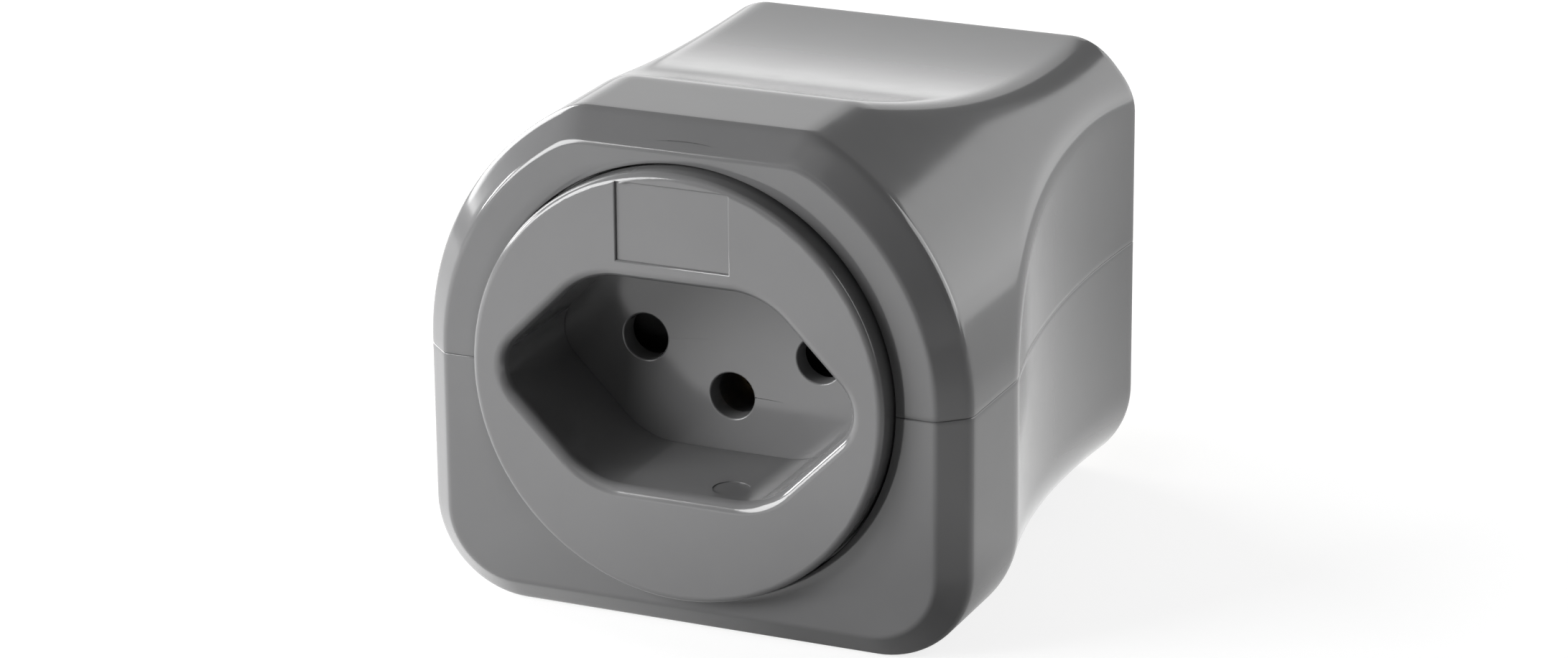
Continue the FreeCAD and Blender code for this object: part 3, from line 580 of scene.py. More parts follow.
def blend_width(first, second, radius):
    """Blend that gives two faces with these normals a fillet of one radius."""
    kink = np.arccos(np.clip(sum(a * b for a, b in zip(first, second)), -1.0, 1.0 - TINY))
    return np.maximum(radius * kink * np.sin(0.5 * kink), LEAST_BLEND)


def blended_way(first, second, first_way, second_way, width):
    """Direction of two blended distances, which turns evenly from one face to the other."""
    share = np.clip(0.5 + (second - first) / (2.0 * width), 0.0, 1.0)
    way = tuple(a + (b - a) * share for a, b in zip(first_way, second_way))
    length = np.sqrt(sum(part * part for part in way))
    return tuple(part / length for part in way)


def housing_distance(x, depth, height):
    """Distance to the housing's outside, negative inside."""
    size = sizes()
    axle = size.scoop_radius
    radius = size.scoop_blend
    lift = np.maximum(height, 0.0)
    across = np.abs(x)
    reach = np.hypot(across, lift) + TINY
    lean = np.clip((depth - size.scoop_middle) / axle, -1.0, 1.0)
    upright = np.sqrt(1.0 - lean * lean)
    level = 0.0 * lean
    side = reach - size.half_width
    roller = axle - np.hypot(depth - size.scoop_middle, height - size.top_waist - axle)
    wheel = axle - np.hypot(depth - size.scoop_middle, across - size.side_waist - axle)
    top = height - size.top_height
    round_way = (across / reach, level, lift / reach)
    top_way = (level, level, 1.0 + level)
    roller_way = (level, lean, upright)
    wheel_way = (upright, lean, level)
    upper_width = blend_width(top_way, roller_way, radius)
    flank_width = blend_width(round_way, wheel_way, radius)
    upper = soft_larger(top, roller, upper_width)
    flank = soft_larger(side, wheel, flank_width)
    upper_way = blended_way(top, roller, top_way, roller_way, upper_width)
    flank_way = blended_way(side, wheel, round_way, wheel_way, flank_width)
    shell = soft_larger(upper, flank, blend_width(upper_way, flank_way, radius))
    return round_larger(shell, -height - size.base_depth, size.corner_radius)


def opening_distance(x, height):
    """Distance to the rear opening's outline."""
    low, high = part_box("plug_base")
    half = 0.5 * (high.x - low.x) - FLANGE_COVER + OPENING_GAP
    top = high.z - AXIS - FLANGE_COVER + OPENING_GAP
    base = low.z - AXIS + FLANGE_COVER - OPENING_GAP
    up = np.abs(height - 0.5 * (top + base)) - 0.5 * (top - base)
    return round_larger(np.abs(x) - half, up, OPENING_CORNER)


def reach_of(distance, level, turn):
    """How far from the parting line's middle each ray meets a level of a distance."""
    near = np.full(np.broadcast(level, turn).shape, NEAREST)
    far = np.full_like(near, FURTHEST)
    for _ in range(HALVINGS):
        middle = 0.5 * (near + far)
        x = middle * np.cos(turn)
        height = sizes().parting + middle * np.sin(turn)
        inside = distance(x, height) < level
        near = np.where(inside, middle, near)
        far = np.where(inside, far, middle)
    return 0.5 * (near + far)


def rounded_path(corners, steps):
    """Points of a line with rounded corners, each given as first, second and radius."""
    path = [corners[0][:2]]
    for before, here, after in zip(corners, corners[1:], corners[2:]):
        point = Vector(here[:2])
        back = (Vector(before[:2]) - point).normalized()
        ahead = (Vector(after[:2]) - point).normalized()
        half = 0.5 * back.angle(ahead)
        cut = here[2] / math.tan(half)
        start = point + back * cut
        end = point + ahead * cut
        centre = point + (back + ahead).normalized() * (here[2] / math.sin(half))
        first = start - centre
        turn = first.angle_signed(end - centre)
        for step in range(steps + 1):
            path.append(tuple(centre + Matrix.Rotation(-turn * step / steps, 2) @ first))
    path.append(corners[-1][:2])
    return path


def housing_rows():
    """Rows of the outside as pairs of depth and inset, from the front face to the rear face."""
    size = sizes()
    shoulder = size.face_depth + size.chamfer_depth
    corners = (
        (size.face_depth, size.chamfer_width + FRONT_LAP, 0.0),
        (size.face_depth, size.chamfer_width, size.face_round),
        (shoulder, 0.0, size.shoulder_round),
        (size.body_depth, 0.0, size.rear_round),
        (size.body_depth, REAR_LAP, 0.0),
    )
    path = rounded_path(corners, FILLET_STEPS)
    rows = []
    for here, after in zip(path, path[1:]):
        steps = max(1, math.ceil((after[0] - here[0]) / ROW_STEP))
        for step in range(steps):
            share = step / steps
            rows.append(tuple(a + (b - a) * share for a, b in zip(here, after)))
    rows.append(path[-1])
    return np.array(rows)


def housing_sheet(name, start, end):
    """Outer skin of one half, between two turns about the parting line."""
    size = sizes()
    columns = finishes().columns
    near = size.parting_groove / size.half_width
    turns = np.concatenate(
        (
            [start, start + 0.15 * near, start + 0.5 * near],
            np.linspace(start + near, end - near, columns),
            [end - 0.5 * near, end - 0.15 * near, end],
        )
    )
    path = housing_rows()
    groove_height = np.minimum(np.abs(turns - start), np.abs(end - turns)) * size.half_width
    fall = np.maximum(size.parting_groove - groove_height, 0.0)
    groove = size.parting_groove - np.sqrt(np.maximum(size.parting_groove**2 - fall**2, 0.0))
    along = np.gradient(path, axis=0)
    along /= np.linalg.norm(along, axis=1)[:, None]
    depth = path[:, :1] - along[:, 1:] * groove
    level = -(path[:, 1:] + along[:, :1] * groove)
    rays = turns[None, :]
    outside = reach_of(lambda x, height: housing_distance(x, depth, height), level, rays)
    hole = reach_of(np.hypot, size.disc_radius + size.disc_gap, rays)[0]
    opening = reach_of(opening_distance, 0.0, rays)[0]
    edge = HOLE_EDGE
    even = np.zeros_like(groove)
    face = size.face_depth + groove
    back = size.body_depth - groove
    front = [
        (size.face_depth + HOLE_WALL + even, hole),
        (face + edge, hole),
        (face + 0.3 * edge, hole + 0.3 * edge),
        (face, hole + edge),
    ]
    for share in (0.35, 0.7):
        front.append((face, hole + edge + (outside[0] - hole - edge) * share))
    rear = []
    for share in (0.35, 0.7, 1.0):
        rear.append((back, outside[-1] + (opening + edge - outside[-1]) * share))
    rear += [
        (back - 0.3 * edge, opening + 0.3 * edge),
        (back - edge, opening),
        (size.body_depth - size.wall + even, opening),
    ]
    depths = np.concatenate(([d for d, _ in front], depth, [d for d, _ in rear]))
    reaches = np.concatenate(([r for _, r in front], outside, [r for _, r in rear]))
    places = np.zeros(reaches.shape + (3,))
    places[..., 0] = reaches * np.cos(turns)
    places[..., 1] = FRONT + depths
    places[..., 2] = AXIS + size.parting + reaches * np.sin(turns)
    return pressed_grid(name, places)


def housing_half(name, start, end):
    """One half of the housing as a closed wall."""
    piece = closed_up(housing_sheet(name, start, end))
    turn_outwards(piece)
    apply_modifier(
        piece,
        "SOLIDIFY",
        thickness=sizes().wall,
        offset=-1.0,
        use_even_offset=True,
        use_quality_normals=True,
    )
    return piece


def turn_outwards(piece):
    """Turns the faces of an open sheet away from the middle of the object."""
    middle = Vector((0.0, FRONT + 0.5 * sizes().body_depth, AXIS))
    total = sum((face.center - middle).dot(face.normal) * face.area for face in piece.data.polygons)
    if total < 0:
        edited(piece, ("flip_normals", {}))


class ADAPTER_OT_upper_housing(bpy.types.Operator):
    """Model the upper half of the housing"""

    bl_idname = "adapter.upper_housing"
    bl_label = "Upper housing"

    def execute(self, context):
        piece = housing_half("upper_housing_skin", 0.0, math.pi)
        smooth_by_angle(piece, SHARP)
        finished(piece, "housing_grey", "housing", HOUSING, "upper_housing")
        return {"FINISHED"}


def screw_places():
    """Centres of the four housing screws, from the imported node."""
    low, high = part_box("housing_screws")
    points = np.array([tuple(v.co) for v in frame["nodes"]["housing_screws"].data.vertices])
    behind = points[:, 1] > 0.5 * (low.y + high.y)
    places = []
    for side in (-1, 1):
        for rear in (False, True):
            chosen = points[(points[:, 0] * side > 0) & (behind == rear)]
            x, y, _ = 0.5 * (chosen.min(0) + chosen.max(0))
            places.append((x, y - FRONT))
    return places


def floor_under(x, depth, inset):
    """Height of the housing's underside at a place, less an inset."""
    low, high = LOWEST_FLOOR, 0.0
    for _ in range(HALVINGS):
        middle = 0.5 * (low + high)
        if housing_distance(np.array(x), np.array(depth), np.array(middle)) < -inset:
            high = middle
        else:
            low = middle
    return high


class ADAPTER_OT_lower_housing(bpy.types.Operator):
    """Model the lower half of the housing with its four deep screw recesses"""

    bl_idname = "adapter.lower_housing"
    bl_label = "Lower housing"

    def execute(self, context):
        piece = housing_half("lower_housing_skin", -math.pi, 0.0)
        length = SCREW_SEAT - RECESS_FOOT
        start = SCREW_SEAT - MM
        for x, depth in screw_places():
            post = bar_of("screw_post", x, depth, POST_FOOT, POST_RADIUS, POST_LENGTH, "height")
            for vertex in post.data.vertices:
                if vertex.co.z < AXIS + SCREW_SEAT:
                    floor = floor_under(vertex.co.x, vertex.co.y - FRONT, POST_INSET)
                    vertex.co.z = AXIS + floor
            combine(piece, post, "UNION")
            tool = bar_of("screw_recess", x, depth, RECESS_FOOT, RECESS_RADIUS, length, "height")
            combine(piece, tool, "DIFFERENCE")
            tool = bar_of("screw_bore", x, depth, start, BORE_RADIUS, BORE_LENGTH, "height", 32)
            combine(piece, tool, "DIFFERENCE")
        smooth_by_angle(piece, SHARP)
        finished(piece, "housing_grey", "housing", HOUSING, "lower_housing")
        return {"FINISHED"}


# Socket


# Places across and above the socket's centre
HOLES = ((-9.5 * MM, 0.0), (9.5 * MM, 0.0), (0.0, -5.0 * MM))
BOSSES = tuple((x * MM, height * MM) for x in (-17.0, 17.0) for height in (-9.0, 9.0))
WELD_LINES = (((-6.9, 0.2), (-2.65, 0.67)), ((2.5, -4.83), (5.6, -4.95)))
WELD_WIDTH = 0.05 * MM

# The recess's corners and wall, and how many steps round one corner
TIP_ROUND = 4.0 * MM
SHOULDER_ROUND = 8.0 * MM
CORNER_STEPS = 32
RECESS_WALL = 1.8 * MM

# Depths and radii behind the disc, from its face
RIM_DEPTH = 3.0 * MM
FLANGE_FRONT = 5.25 * MM
FLANGE_BACK = 7.25 * MM
FLANGE_RADIUS = 24.0 * MM
BOSS_FRONT = 6.0 * MM
BOSS_LENGTH = 7.7 * MM
BOSS_RADIUS = 2.7 * MM

# The bare rectangle above the recess, and the round mark in the recess's lower wall
MARKER_HALF = 6.0 * MM
MARKER_FOOT = 12.75 * MM
MARKER_TOP = 20.75 * MM
MARKER_DEPTH = 0.3 * MM
MARKER_ROUND = 0.18 * MM
MARK_X = 4.3 * MM
MARK_DEPTH = 3.9 * MM
MARK_RADIUS = 1.9 * MM
MARK_PRESS = 0.08 * MM
MARK_LENGTH = 2.0 * MM

# The recess floor
FLOOR_GROW = 1.7 * MM
FLOOR_THICKNESS = 2.2 * MM
EAR_RADIUS = 3.0 * MM
HOLE_LENGTH = 5.0 * MM
HOLE_ROUND = 0.2 * MM


def hexagon_outline(grow, turns):
    """Points of the recess's rounded six-sided outline, grown sideways, at given turns."""
    size = sizes()
    high = size.recess_height
    tip = size.recess_width
    shoulder = tip - high
    corners = (
        ((tip, 0.0), TIP_ROUND),
        ((shoulder, high), SHOULDER_ROUND),
        ((-shoulder, high), SHOULDER_ROUND),
        ((-tip, 0.0), TIP_ROUND),
        ((-shoulder, -high), SHOULDER_ROUND),
        ((shoulder, -high), SHOULDER_ROUND),
    )
    points = []
    normals = []
    for index, (corner, radius) in enumerate(corners):
        here = Vector(corner)
        back = (Vector(corners[index - 1][0]) - here).normalized()
        ahead = (Vector(corners[(index + 1) % 6][0]) - here).normalized()
        half = 0.5 * back.angle(ahead)
        centre = here + (back + ahead).normalized() * (radius / math.sin(half))
        start = here + back * (radius / math.tan(half)) - centre
        sweep = math.pi - 2 * half
        for step in range(CORNER_STEPS + 1):
            normal = Matrix.Rotation(sweep * step / CORNER_STEPS, 2) @ start.normalized()
            points.append(centre + normal * radius)
            normals.append(normal)
    points = np.array([tuple(p) for p in points])
    normals = np.array([tuple(n) for n in normals])
    bearing = np.unwrap(np.arctan2(points[:, 1], points[:, 0]))
    bearing = np.concatenate((bearing - 2 * math.pi, bearing, bearing + 2 * math.pi))
    result = []
    for values in (points, normals):
        stacked = np.concatenate((values, values, values))
        columns = [np.interp(turns, bearing, stacked[:, k]) for k in (0, 1)]
        result.append(np.stack(columns, axis=1))
    outline, normal = result
    normal /= np.linalg.norm(normal, axis=1)[:, None]
    return outline + normal * grow


def whole_round(count):
    """Turns over a whole round."""
    return np.linspace(-math.pi, math.pi, count + 1)


def quarter_round(steps):
    """Pairs of sine and cosine at even steps over a quarter of a round."""
    angles = (0.5 * math.pi * step / steps for step in range(steps + 1))
    return [(math.sin(angle), math.cos(angle)) for angle in angles]


def closed_sheet(name, rows):
    """Closed sheet through rings of points, each given as depth and places across."""
    places = np.zeros((len(rows),) + rows[0][1].shape[:1] + (3,))
    for index, (depth, across) in enumerate(rows):
        places[index, :, 0] = across[:, 0]
        places[index, :, 1] = FRONT + depth
        places[index, :, 2] = AXIS + across[:, 1]
    return closed_up(pressed_grid(name, places))


class ADAPTER_OT_socket_insert(bpy.types.Operator):
    """Model the round disc with its six-sided recess, its flange and its four bosses"""

    bl_idname = "adapter.socket_insert"
    bl_label = "Socket insert"

    def execute(self, context):
        size = sizes()
        turns = whole_round(360)
        round_way = np.stack((np.cos(turns), np.sin(turns)), axis=1)
        inner = hexagon_outline(0.0, turns)
        lip_start = hexagon_outline(size.lip_round, turns)
        outer = hexagon_outline(RECESS_WALL, turns)
        disc = size.disc_radius
        flange = round_way * FLANGE_RADIUS
        rows = [
            (FLANGE_BACK, flange),
            (FLANGE_FRONT, flange),
            (FLANGE_FRONT, round_way * disc),
            (RIM_DEPTH, round_way * disc),
        ]
        for sine, cosine in quarter_round(8):
            radius = disc - size.disc_round * (1 - cosine)
            rows.append((size.disc_round * (1 - sine), round_way * radius))
        face_edge = round_way * (disc - size.disc_round)
        for share in (0.03, 0.33, 0.67, 0.97):
            rows.append((0.0, face_edge + (lip_start - face_edge) * share))
        for sine, cosine in quarter_round(10):
            outline = hexagon_outline(size.lip_round * (1 - sine), turns)
            rows.append((size.lip_round * (1 - cosine), outline))
        foot = size.recess_depth - size.foot_round
        for share in (0.1, 0.4, 0.7, 1.0):
            rows.append((size.lip_round + (foot - size.lip_round) * share, inner))
        for sine, cosine in quarter_round(4)[1:]:
            outline = hexagon_outline(size.foot_round * (1 - cosine), turns)
            rows.append((foot + size.foot_round * sine, outline))
        rows += [(size.recess_depth, outer), (FLANGE_BACK, outer), (FLANGE_BACK, flange)]
        piece = closed_sheet("socket_insert_disc", rows)
        for x, height in BOSSES:
            tool = bar_of("boss", x, BOSS_FRONT, height, BOSS_RADIUS, BOSS_LENGTH, "depth", 40)
            combine(piece, tool, "UNION")
        across = (-MARKER_HALF, MARKER_HALF)
        tool = box_of("marker", across, (-MM, MARKER_DEPTH), (MARKER_FOOT, MARKER_TOP))
        combine(piece, tool, "DIFFERENCE")
        low = -size.recess_height - MARK_PRESS
        tool = bar_of("mould_mark", MARK_X, MARK_DEPTH, low, MARK_RADIUS, MARK_LENGTH, "height")
        combine(piece, tool, "DIFFERENCE")
        make_whole(piece)
        round_edges(piece, marker_edge, MARKER_ROUND)
        for vertex in piece.data.vertices:
            vertex.co.y = max(vertex.co.y, FRONT)
        smooth_by_angle(piece, SHARP)
        even_normals(piece)
        finished(piece, "insert_grey", "insert", HOUSING, "socket_insert")
        return {"FINISHED"}


class ADAPTER_OT_socket_floor(bpy.types.Operator):
    """Model the recess floor with its three pin holes"""

    bl_idname = "adapter.socket_floor"
    bl_label = "Socket floor"

    def execute(self, context):
        size = sizes()
        turns = whole_round(240)
        front = size.recess_depth
        back = front + FLOOR_THICKNESS
        outer = hexagon_outline(FLOOR_GROW, turns)
        rows = [(front, outer * share) for share in (0.0, 0.5, 1.0)]
        rows += [(back, outer * share) for share in (1.0, 0.5, 0.0)]
        piece = closed_sheet("socket_floor_plate", rows)
        for x, height in BOSSES:
            tool = bar_of("ear", x, front, height, EAR_RADIUS, back - front, "depth", 40)
            combine(piece, tool, "UNION")
        for x, height in HOLES:
            start = front - MM
            tool = bar_of("hole", x, start, height, size.hole_radius, HOLE_LENGTH, "depth", 72)
            combine(piece, tool, "DIFFERENCE")
        for start, end in WELD_LINES:
            combine(piece, weld_line(start, end, front), "DIFFERENCE")
        make_whole(piece)
        round_edges(piece, hole_edge, HOLE_ROUND)
        smooth_by_angle(piece, FLOOR_SHARP)
        even_normals(piece)
        finished(piece, "insert_grey", "insert", HOUSING, "socket_floor")
        return {"FINISHED"}


def weld_line(start, end, depth):
    """Bar that presses one fine line into the recess floor, between two places."""
    start, end = Vector(start) * MM, Vector(end) * MM
    middle, along = (start + end) / 2, end - start
    bpy.ops.object.select_all(action="DESELECT")
    bpy.ops.mesh.primitive_cube_add(
        size=1.0,
        location=(middle.x, FRONT + depth, AXIS + middle.y),
        rotation=(0.0, -math.atan2(along.y, along.x), 0.0),
        scale=(along.length, WELD_WIDTH, WELD_WIDTH),
    )
    return settle(added("weld_line"))


def round_edges(piece, on_edge, width):
    """Rounds the edges whose two ends a test accepts, as points from the socket's centre."""
    only(piece)
    bpy.ops.object.mode_set(mode="EDIT")
    bpy.ops.mesh.select_mode(type="EDGE")
    bpy.ops.mesh.select_all(action="DESELECT")
    shape = bmesh.from_edit_mesh(piece.data)
    origin = Vector((0.0, FRONT, AXIS))
    for edge in shape.edges:
        edge.select_set(all(on_edge(vertex.co - origin) for vertex in edge.verts))
    bmesh.update_edit_mesh(piece.data)
    bpy.ops.mesh.bevel(offset=width, segments=3, affect="EDGES", clamp_overlap=False)
    bpy.ops.object.mode_set(mode="OBJECT")


def marker_edge(point):
    """Whether a point lies on the front edge of the bare rectangle above the recess."""
    near = 0.02 * MM
    inset = min(MARKER_HALF - abs(point.x), point.z - MARKER_FOOT, MARKER_TOP - point.z)
    return abs(point.y) <= near and abs(inset) < near


def hole_edge(point):
    """Whether a point lies on the front edge of a pin hole."""
    size = sizes()
    if abs(point.y - size.recess_depth) > 0.01 * MM:
        return False
    reaches = (math.hypot(point.x - x, point.z - height) for x, height in HOLES)
    return any(abs(reach - size.hole_radius) < 0.03 * MM for reach in reaches)


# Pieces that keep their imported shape, and softened copies of it


KEPT = (
    ("shutter_black", ("shutter",)),
    ("inner_black", ("contact_block", "contact_cover")),
    ("zinc_steel", ("block_screws", "cover_screws", "terminal_screws")),
    ("zinc_steel", ("line_contact_ring", "neutral_contact_ring", "earth_contact_ring")),
    ("strip_brass", ("line_contact", "neutral_contact", "earth_contact", "clip_rivets")),
    ("strip_brass", ("load_strip", "neutral_strip", "earth_strip", "supply_strip")),
    ("tinned_clip", ("load_fuse_clip", "supply_fuse_clip")),
    ("ceramic_white", ("fuse_tube",)),
    ("plated_cap", ("fuse_caps",)),
)

SOFTENED = (
    ("plug_base", "plug_base_face", 0.35, "housing_grey", "housing", HOUSING),
    ("fuse_carrier", "fuse_carrier_body", 0.3, "housing_grey", "housing", CARRIER),
    ("line_pin", "line_pin_blade", 0.25, "pin_brass", "pin", HOUSING),
    ("neutral_pin", "neutral_pin_blade", 0.25, "pin_brass", "pin", HOUSING),
    ("earth_pin", "earth_pin_blade", 0.3, "pin_brass", "pin", HOUSING),
    ("line_pin_sleeve", "line_sleeve_skin", 0.15, "sleeve_black", "sleeve", HOUSING),
    ("neutral_pin_sleeve", "neutral_sleeve_skin", 0.15, "sleeve_black", "sleeve", HOUSING),
    ("housing_screws", "housing_screw_set", 0.15, "zinc_steel", "steel", HOUSING),
)


class ADAPTER_OT_inner_pieces(bpy.types.Operator):
    """Give the inner pieces their finishes"""

    bl_idname = "adapter.inner_pieces"
    bl_label = "Inner pieces"

    def execute(self, context):
        for finish, nodes in KEPT:
            for node in nodes:
                give_finish(frame["nodes"][node], finish)
        return {"FINISHED"}


class ADAPTER_OT_spring(bpy.types.Operator):
    """Replace the shutter's spring by a smooth-shaded copy with a mesh of its own"""

    bl_idname = "adapter.spring"
    bl_label = "Shutter spring"

    def execute(self, context):
        piece = smooth_by_angle(copy_of("shutter_spring", "shutter_spring_coil"), COIL_SHARP)
        finished(piece, "zinc_steel", "steel", HOUSING, "shutter_spring")
        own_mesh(piece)
        return {"FINISHED"}


class ADAPTER_OT_plug(bpy.types.Operator):
    """Soften the edges of the plug's base, pins, sleeves and carrier and of the housing's screws"""

    bl_idname = "adapter.plug"
    bl_label = "Plug and screws"

    def execute(self, context):
        for node, name, width, finish, slot, body in SOFTENED:
            finished(softened_copy(node, name, width * MM), finish, slot, body, node)
        return {"FINISHED"}


# Studio


# Camera: turn, rise and roll in degrees, then its place from the disc's centre, its sensor and
# its lens in millimetres
CAMERA_ANGLES = (24.075, 19.106, -0.489)
CAMERA_PLACE = (200.063, -421.24, 167.864)
CAMERA_SENSOR = 36.0
CAMERA_LENS = 116.72

# Lamps: name, turn and rise in degrees, reach and size in metres, brightness
LAMPS = (
    ("key_box", -44.5, 17.0, 0.60, (0.36, 0.32), 12.8),
    ("rim_box", -76.0, 11.0, 0.50, (0.09, 0.09), 26.0),
    ("left_box", -112.0, 20.0, 0.50, (0.34, 0.30), 8.0),
    ("front_box", 0.0, 46.0, 0.60, (0.40, 0.30), 0.5),
    ("right_box", 150.0, 9.0, 0.50, (0.42, 0.27), 1.6),
    ("side_box", 120.0, 22.0, 0.45, (0.26, 0.28), 4.4),
    ("back_box", -155.0, 15.0, 0.55, (0.38, 0.30), 0.75),
)

WHITE = (1.0, 1.0, 1.0, 1.0)
FLOOR_GREY = (0.30, 0.30, 0.30, 1.0)


def way_to(turn, rise):
    """Direction at a turn from the front to the right and at a rise, in radians."""
    level = math.cos(rise)
    return Vector((math.sin(turn) * level, -math.cos(turn) * level, math.sin(rise)))


def soft_box(name, turn, rise, reach, size, brightness):
    """Soft lamp that faces the frame's origin at the height of the socket's centre."""
    way = way_to(math.radians(turn), math.radians(rise))
    bpy.ops.object.light_add(type="AREA", location=Vector((0.0, 0.0, AXIS)) + way * reach)
    lamp = bpy.context.active_object
    lamp.name = name
    lamp.data.shape = "RECTANGLE"
    lamp.data.size, lamp.data.size_y = size
    lamp.data.energy = brightness * math.pi * size[0] * size[1]
    lamp.rotation_euler = way.to_track_quat("Z", "Y").to_euler()
    lamp.visible_camera = False


class ADAPTER_OT_stage(bpy.types.Operator):
    """Set the camera, the floor, the background and the lamps"""

    bl_idname = "adapter.stage"
    bl_label = "Stage"

    def execute(self, context):
        self.set_camera(context)
        self.set_world(context)
        self.set_floor()
        for lamp in LAMPS:
            soft_box(*lamp)
        context.scene.view_settings.view_transform = "Standard"
        return {"FINISHED"}

    def set_camera(self, context):
        """Camera at the photograph's viewing angle."""
        turn, rise, roll = (math.radians(angle) for angle in CAMERA_ANGLES)
        back = way_to(turn, rise)
        right = Vector((math.cos(turn), math.sin(turn), 0.0))
        up = back.cross(right)
        across = right * math.cos(roll) + up * math.sin(roll)
        upright = up * math.cos(roll) - right * math.sin(roll)
        bpy.ops.object.camera_add()
        camera = bpy.context.active_object
        camera.name = "camera"
        camera.rotation_mode = "QUATERNION"
        camera.rotation_quaternion = Matrix((across, upright, back)).transposed().to_quaternion()
        camera.location = Vector(CAMERA_PLACE) * MM + Vector((0.0, FRONT, AXIS))
        camera.data.sensor_width = CAMERA_SENSOR
        camera.data.lens = CAMERA_LENS
        camera.data.clip_start = 0.01
        context.scene.camera = camera

    def set_world(self, context):
        """White background, a dim even light, and a bright horizon for reflections."""
        world = bpy.data.worlds.new("studio")
        context.scene.world = world
        world.use_nodes = True
        tree = world.node_tree
        light = tree.nodes["Background"]
        light.inputs["Color"].default_value = WHITE
        light.inputs["Strength"].default_value = 0.05
        white = add_node(tree, "ShaderNodeBackground", Color=WHITE, Strength=1.0)
        room = add_node(tree, "ShaderNodeBackground", Strength=1.0)
        place = tree.nodes.new("ShaderNodeTexCoord")
        apart = tree.nodes.new("ShaderNodeSeparateXYZ")
        tree.links.new(place.outputs["Generated"], apart.inputs["Vector"])
        horizon = ranged(tree, apart.outputs["Z"], 0.95, 0.40, 0.05, 0.25)
        tree.links.new(horizon, room.inputs["Strength"])
        path = tree.nodes.new("ShaderNodeLightPath")
        glossy = tree.nodes.new("ShaderNodeMixShader")
        seen = tree.nodes.new("ShaderNodeMixShader")
        either = tree.nodes.new("ShaderNodeMath")
        either.operation = "MAXIMUM"
        tree.links.new(path.outputs["Is Camera Ray"], either.inputs[0])
        tree.links.new(path.outputs["Is Transmission Ray"], either.inputs[1])
        tree.links.new(path.outputs["Is Glossy Ray"], glossy.inputs["Fac"])
        tree.links.new(light.outputs["Background"], glossy.inputs[1])
        tree.links.new(room.outputs["Background"], glossy.inputs[2])
        tree.links.new(either.outputs[0], seen.inputs["Fac"])
        tree.links.new(glossy.outputs["Shader"], seen.inputs[1])
        tree.links.new(white.outputs["Background"], seen.inputs[2])
        tree.links.new(seen.outputs["Shader"], tree.nodes["World Output"].inputs["Surface"])

    def times(self, tree, first, second):
        """Product of two values."""
        node = tree.nodes.new("ShaderNodeMath")
        node.operation = "MULTIPLY"
        tree.links.new(first, node.inputs[0])
        tree.links.new(second, node.inputs[1])
        return node.outputs[0]

    def distance(self, tree, place):
        """Distance on the floor from one place."""
        coordinates = tree.nodes.new("ShaderNodeTexCoord")
        node = tree.nodes.new("ShaderNodeVectorMath")
        node.operation = "DISTANCE"
        node.inputs[1].default_value = place
        tree.links.new(coordinates.outputs["Object"], node.inputs[0])
        return node.outputs["Value"]

    def set_floor(self):
        """Pale floor that shows the object's shadow, glows far off, and glows in reflections as
        painted light.
        """
        bpy.ops.mesh.primitive_plane_add(size=6.0, location=(0.0, 0.0, cad_low.z))
        floor = added("studio_floor")
        settle(floor)
        finish, tree, shader = new_finish("floor_white")
        shader.inputs["Base Color"].default_value = FLOOR_GREY
        shader.inputs["Roughness"].default_value = 0.9
        # Painted light that only glossy rays see: a pool of glow in front of the object, to its
        # left
        painted_light_pool = ranged(tree, self.distance(tree, (-0.06, -0.14, 0.0)), 1.5, 0.5, 0.06, 0.26)
        # Painted shade in that reflected glow, which dims it near the object
        clear = ranged(tree, self.distance(tree, (0.02, -0.05, 0.0)), 0.1, 1.0, 0.015, 0.05)
        far = ranged(tree, self.distance(tree, (0.0, 0.0, 0.0)), 0.78, 1.0, 0.30, 0.80)
        path = tree.nodes.new("ShaderNodeLightPath")
        seen = self.times(tree, path.outputs["Is Camera Ray"], far)
        painted_reflection_glow = self.times(tree, painted_light_pool, clear)
        painted_reflection_glow = self.times(tree, path.outputs["Is Glossy Ray"], painted_reflection_glow)
        both = tree.nodes.new("ShaderNodeMath")
        tree.links.new(seen, both.inputs[0])
        tree.links.new(painted_reflection_glow, both.inputs[1])
        glow = add_node(tree, "ShaderNodeEmission")
        tree.links.new(both.outputs[0], glow.inputs["Strength"])
        total = tree.nodes.new("ShaderNodeAddShader")
        tree.links.new(shader.outputs["BSDF"], total.inputs[0])
        tree.links.new(glow.outputs["Emission"], total.inputs[1])
        tree.links.new(total.outputs["Shader"], tree.nodes["Material Output"].inputs["Surface"])
        floor.data.materials.append(finish)


class ADAPTER_PT_panel(bpy.types.Panel):
    """Panel with the adapter's sizes, finishes and modelling steps"""

    bl_label = "Travel adapter"
    bl_idname = "ADAPTER_PT_panel"
    bl_space_type = "VIEW_3D"
    bl_region_type = "UI"
    bl_category = "Adapter"

    def draw(self, context):
        for step in STEPS:
            self.layout.operator(step.bl_idname)
        for group in (context.scene.adapter_sizes, context.scene.adapter_finishes):
            box = self.layout.box()
            for key in group.__annotations__:
                box.prop(group, key)


STEPS = (
    ADAPTER_OT_stage,
    ADAPTER_OT_upper_housing,
    ADAPTER_OT_lower_housing,
    ADAPTER_OT_socket_insert,
    ADAPTER_OT_socket_floor,
    ADAPTER_OT_inner_pieces,
    ADAPTER_OT_spring,
    ADAPTER_OT_plug,
)
GROUPS = (AdapterSizes, AdapterFinishes)


def register():
    """Registers the properties, the operators and the panel."""
    for kind in GROUPS + STEPS + (ADAPTER_PT_panel,):
        bpy.utils.register_class(kind)
    bpy.types.Scene.adapter_sizes = PointerProperty(type=AdapterSizes)
    bpy.types.Scene.adapter_finishes = PointerProperty(type=AdapterFinishes)


def unregister():
    """Removes what register added."""
    del bpy.types.Scene.adapter_finishes
    del bpy.types.Scene.adapter_sizes
    for kind in reversed(GROUPS + STEPS + (ADAPTER_PT_panel,)):
        bpy.utils.unregister_class(kind)


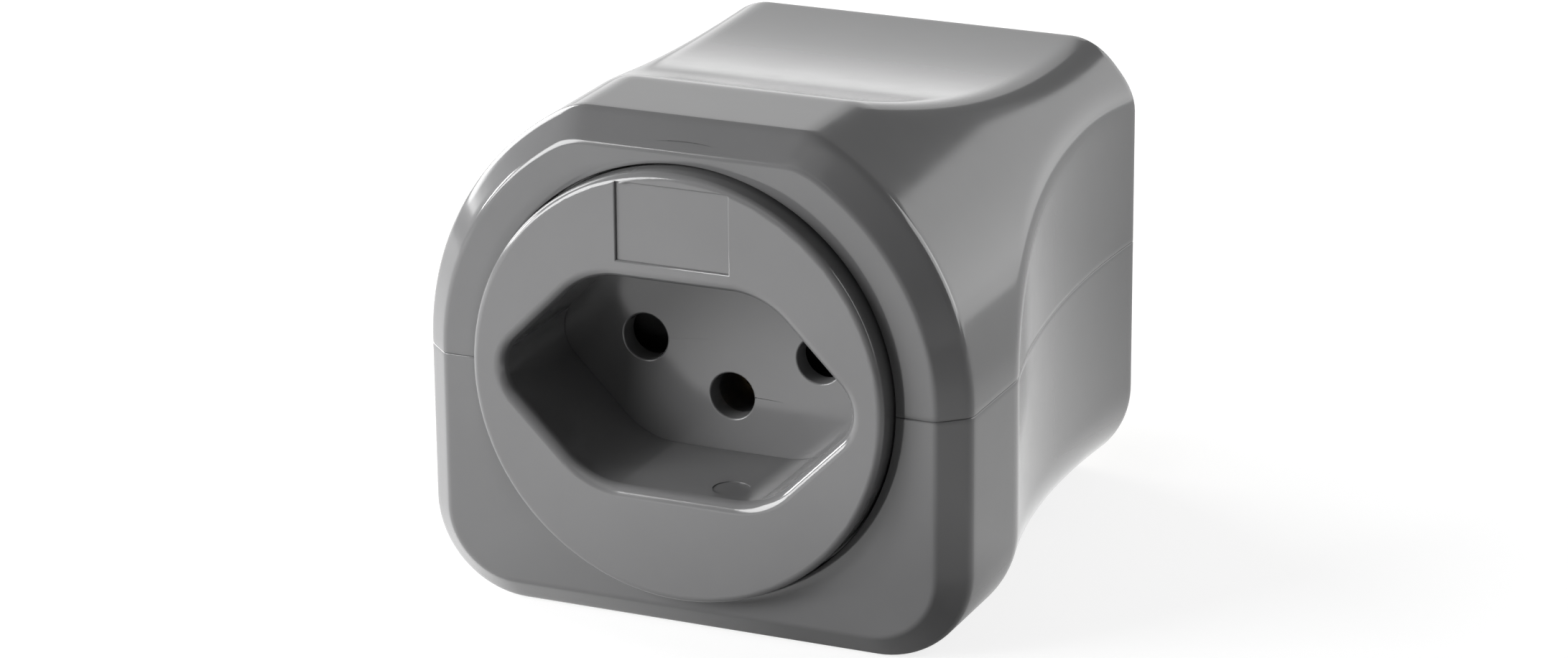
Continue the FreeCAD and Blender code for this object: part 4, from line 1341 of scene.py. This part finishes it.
def main():
    """Runs every step in order."""
    register()
    for step in STEPS:
        group, name = step.bl_idname.split(".")
        getattr(getattr(bpy.ops, group), name)()


if __name__ == "__main__":
    main()
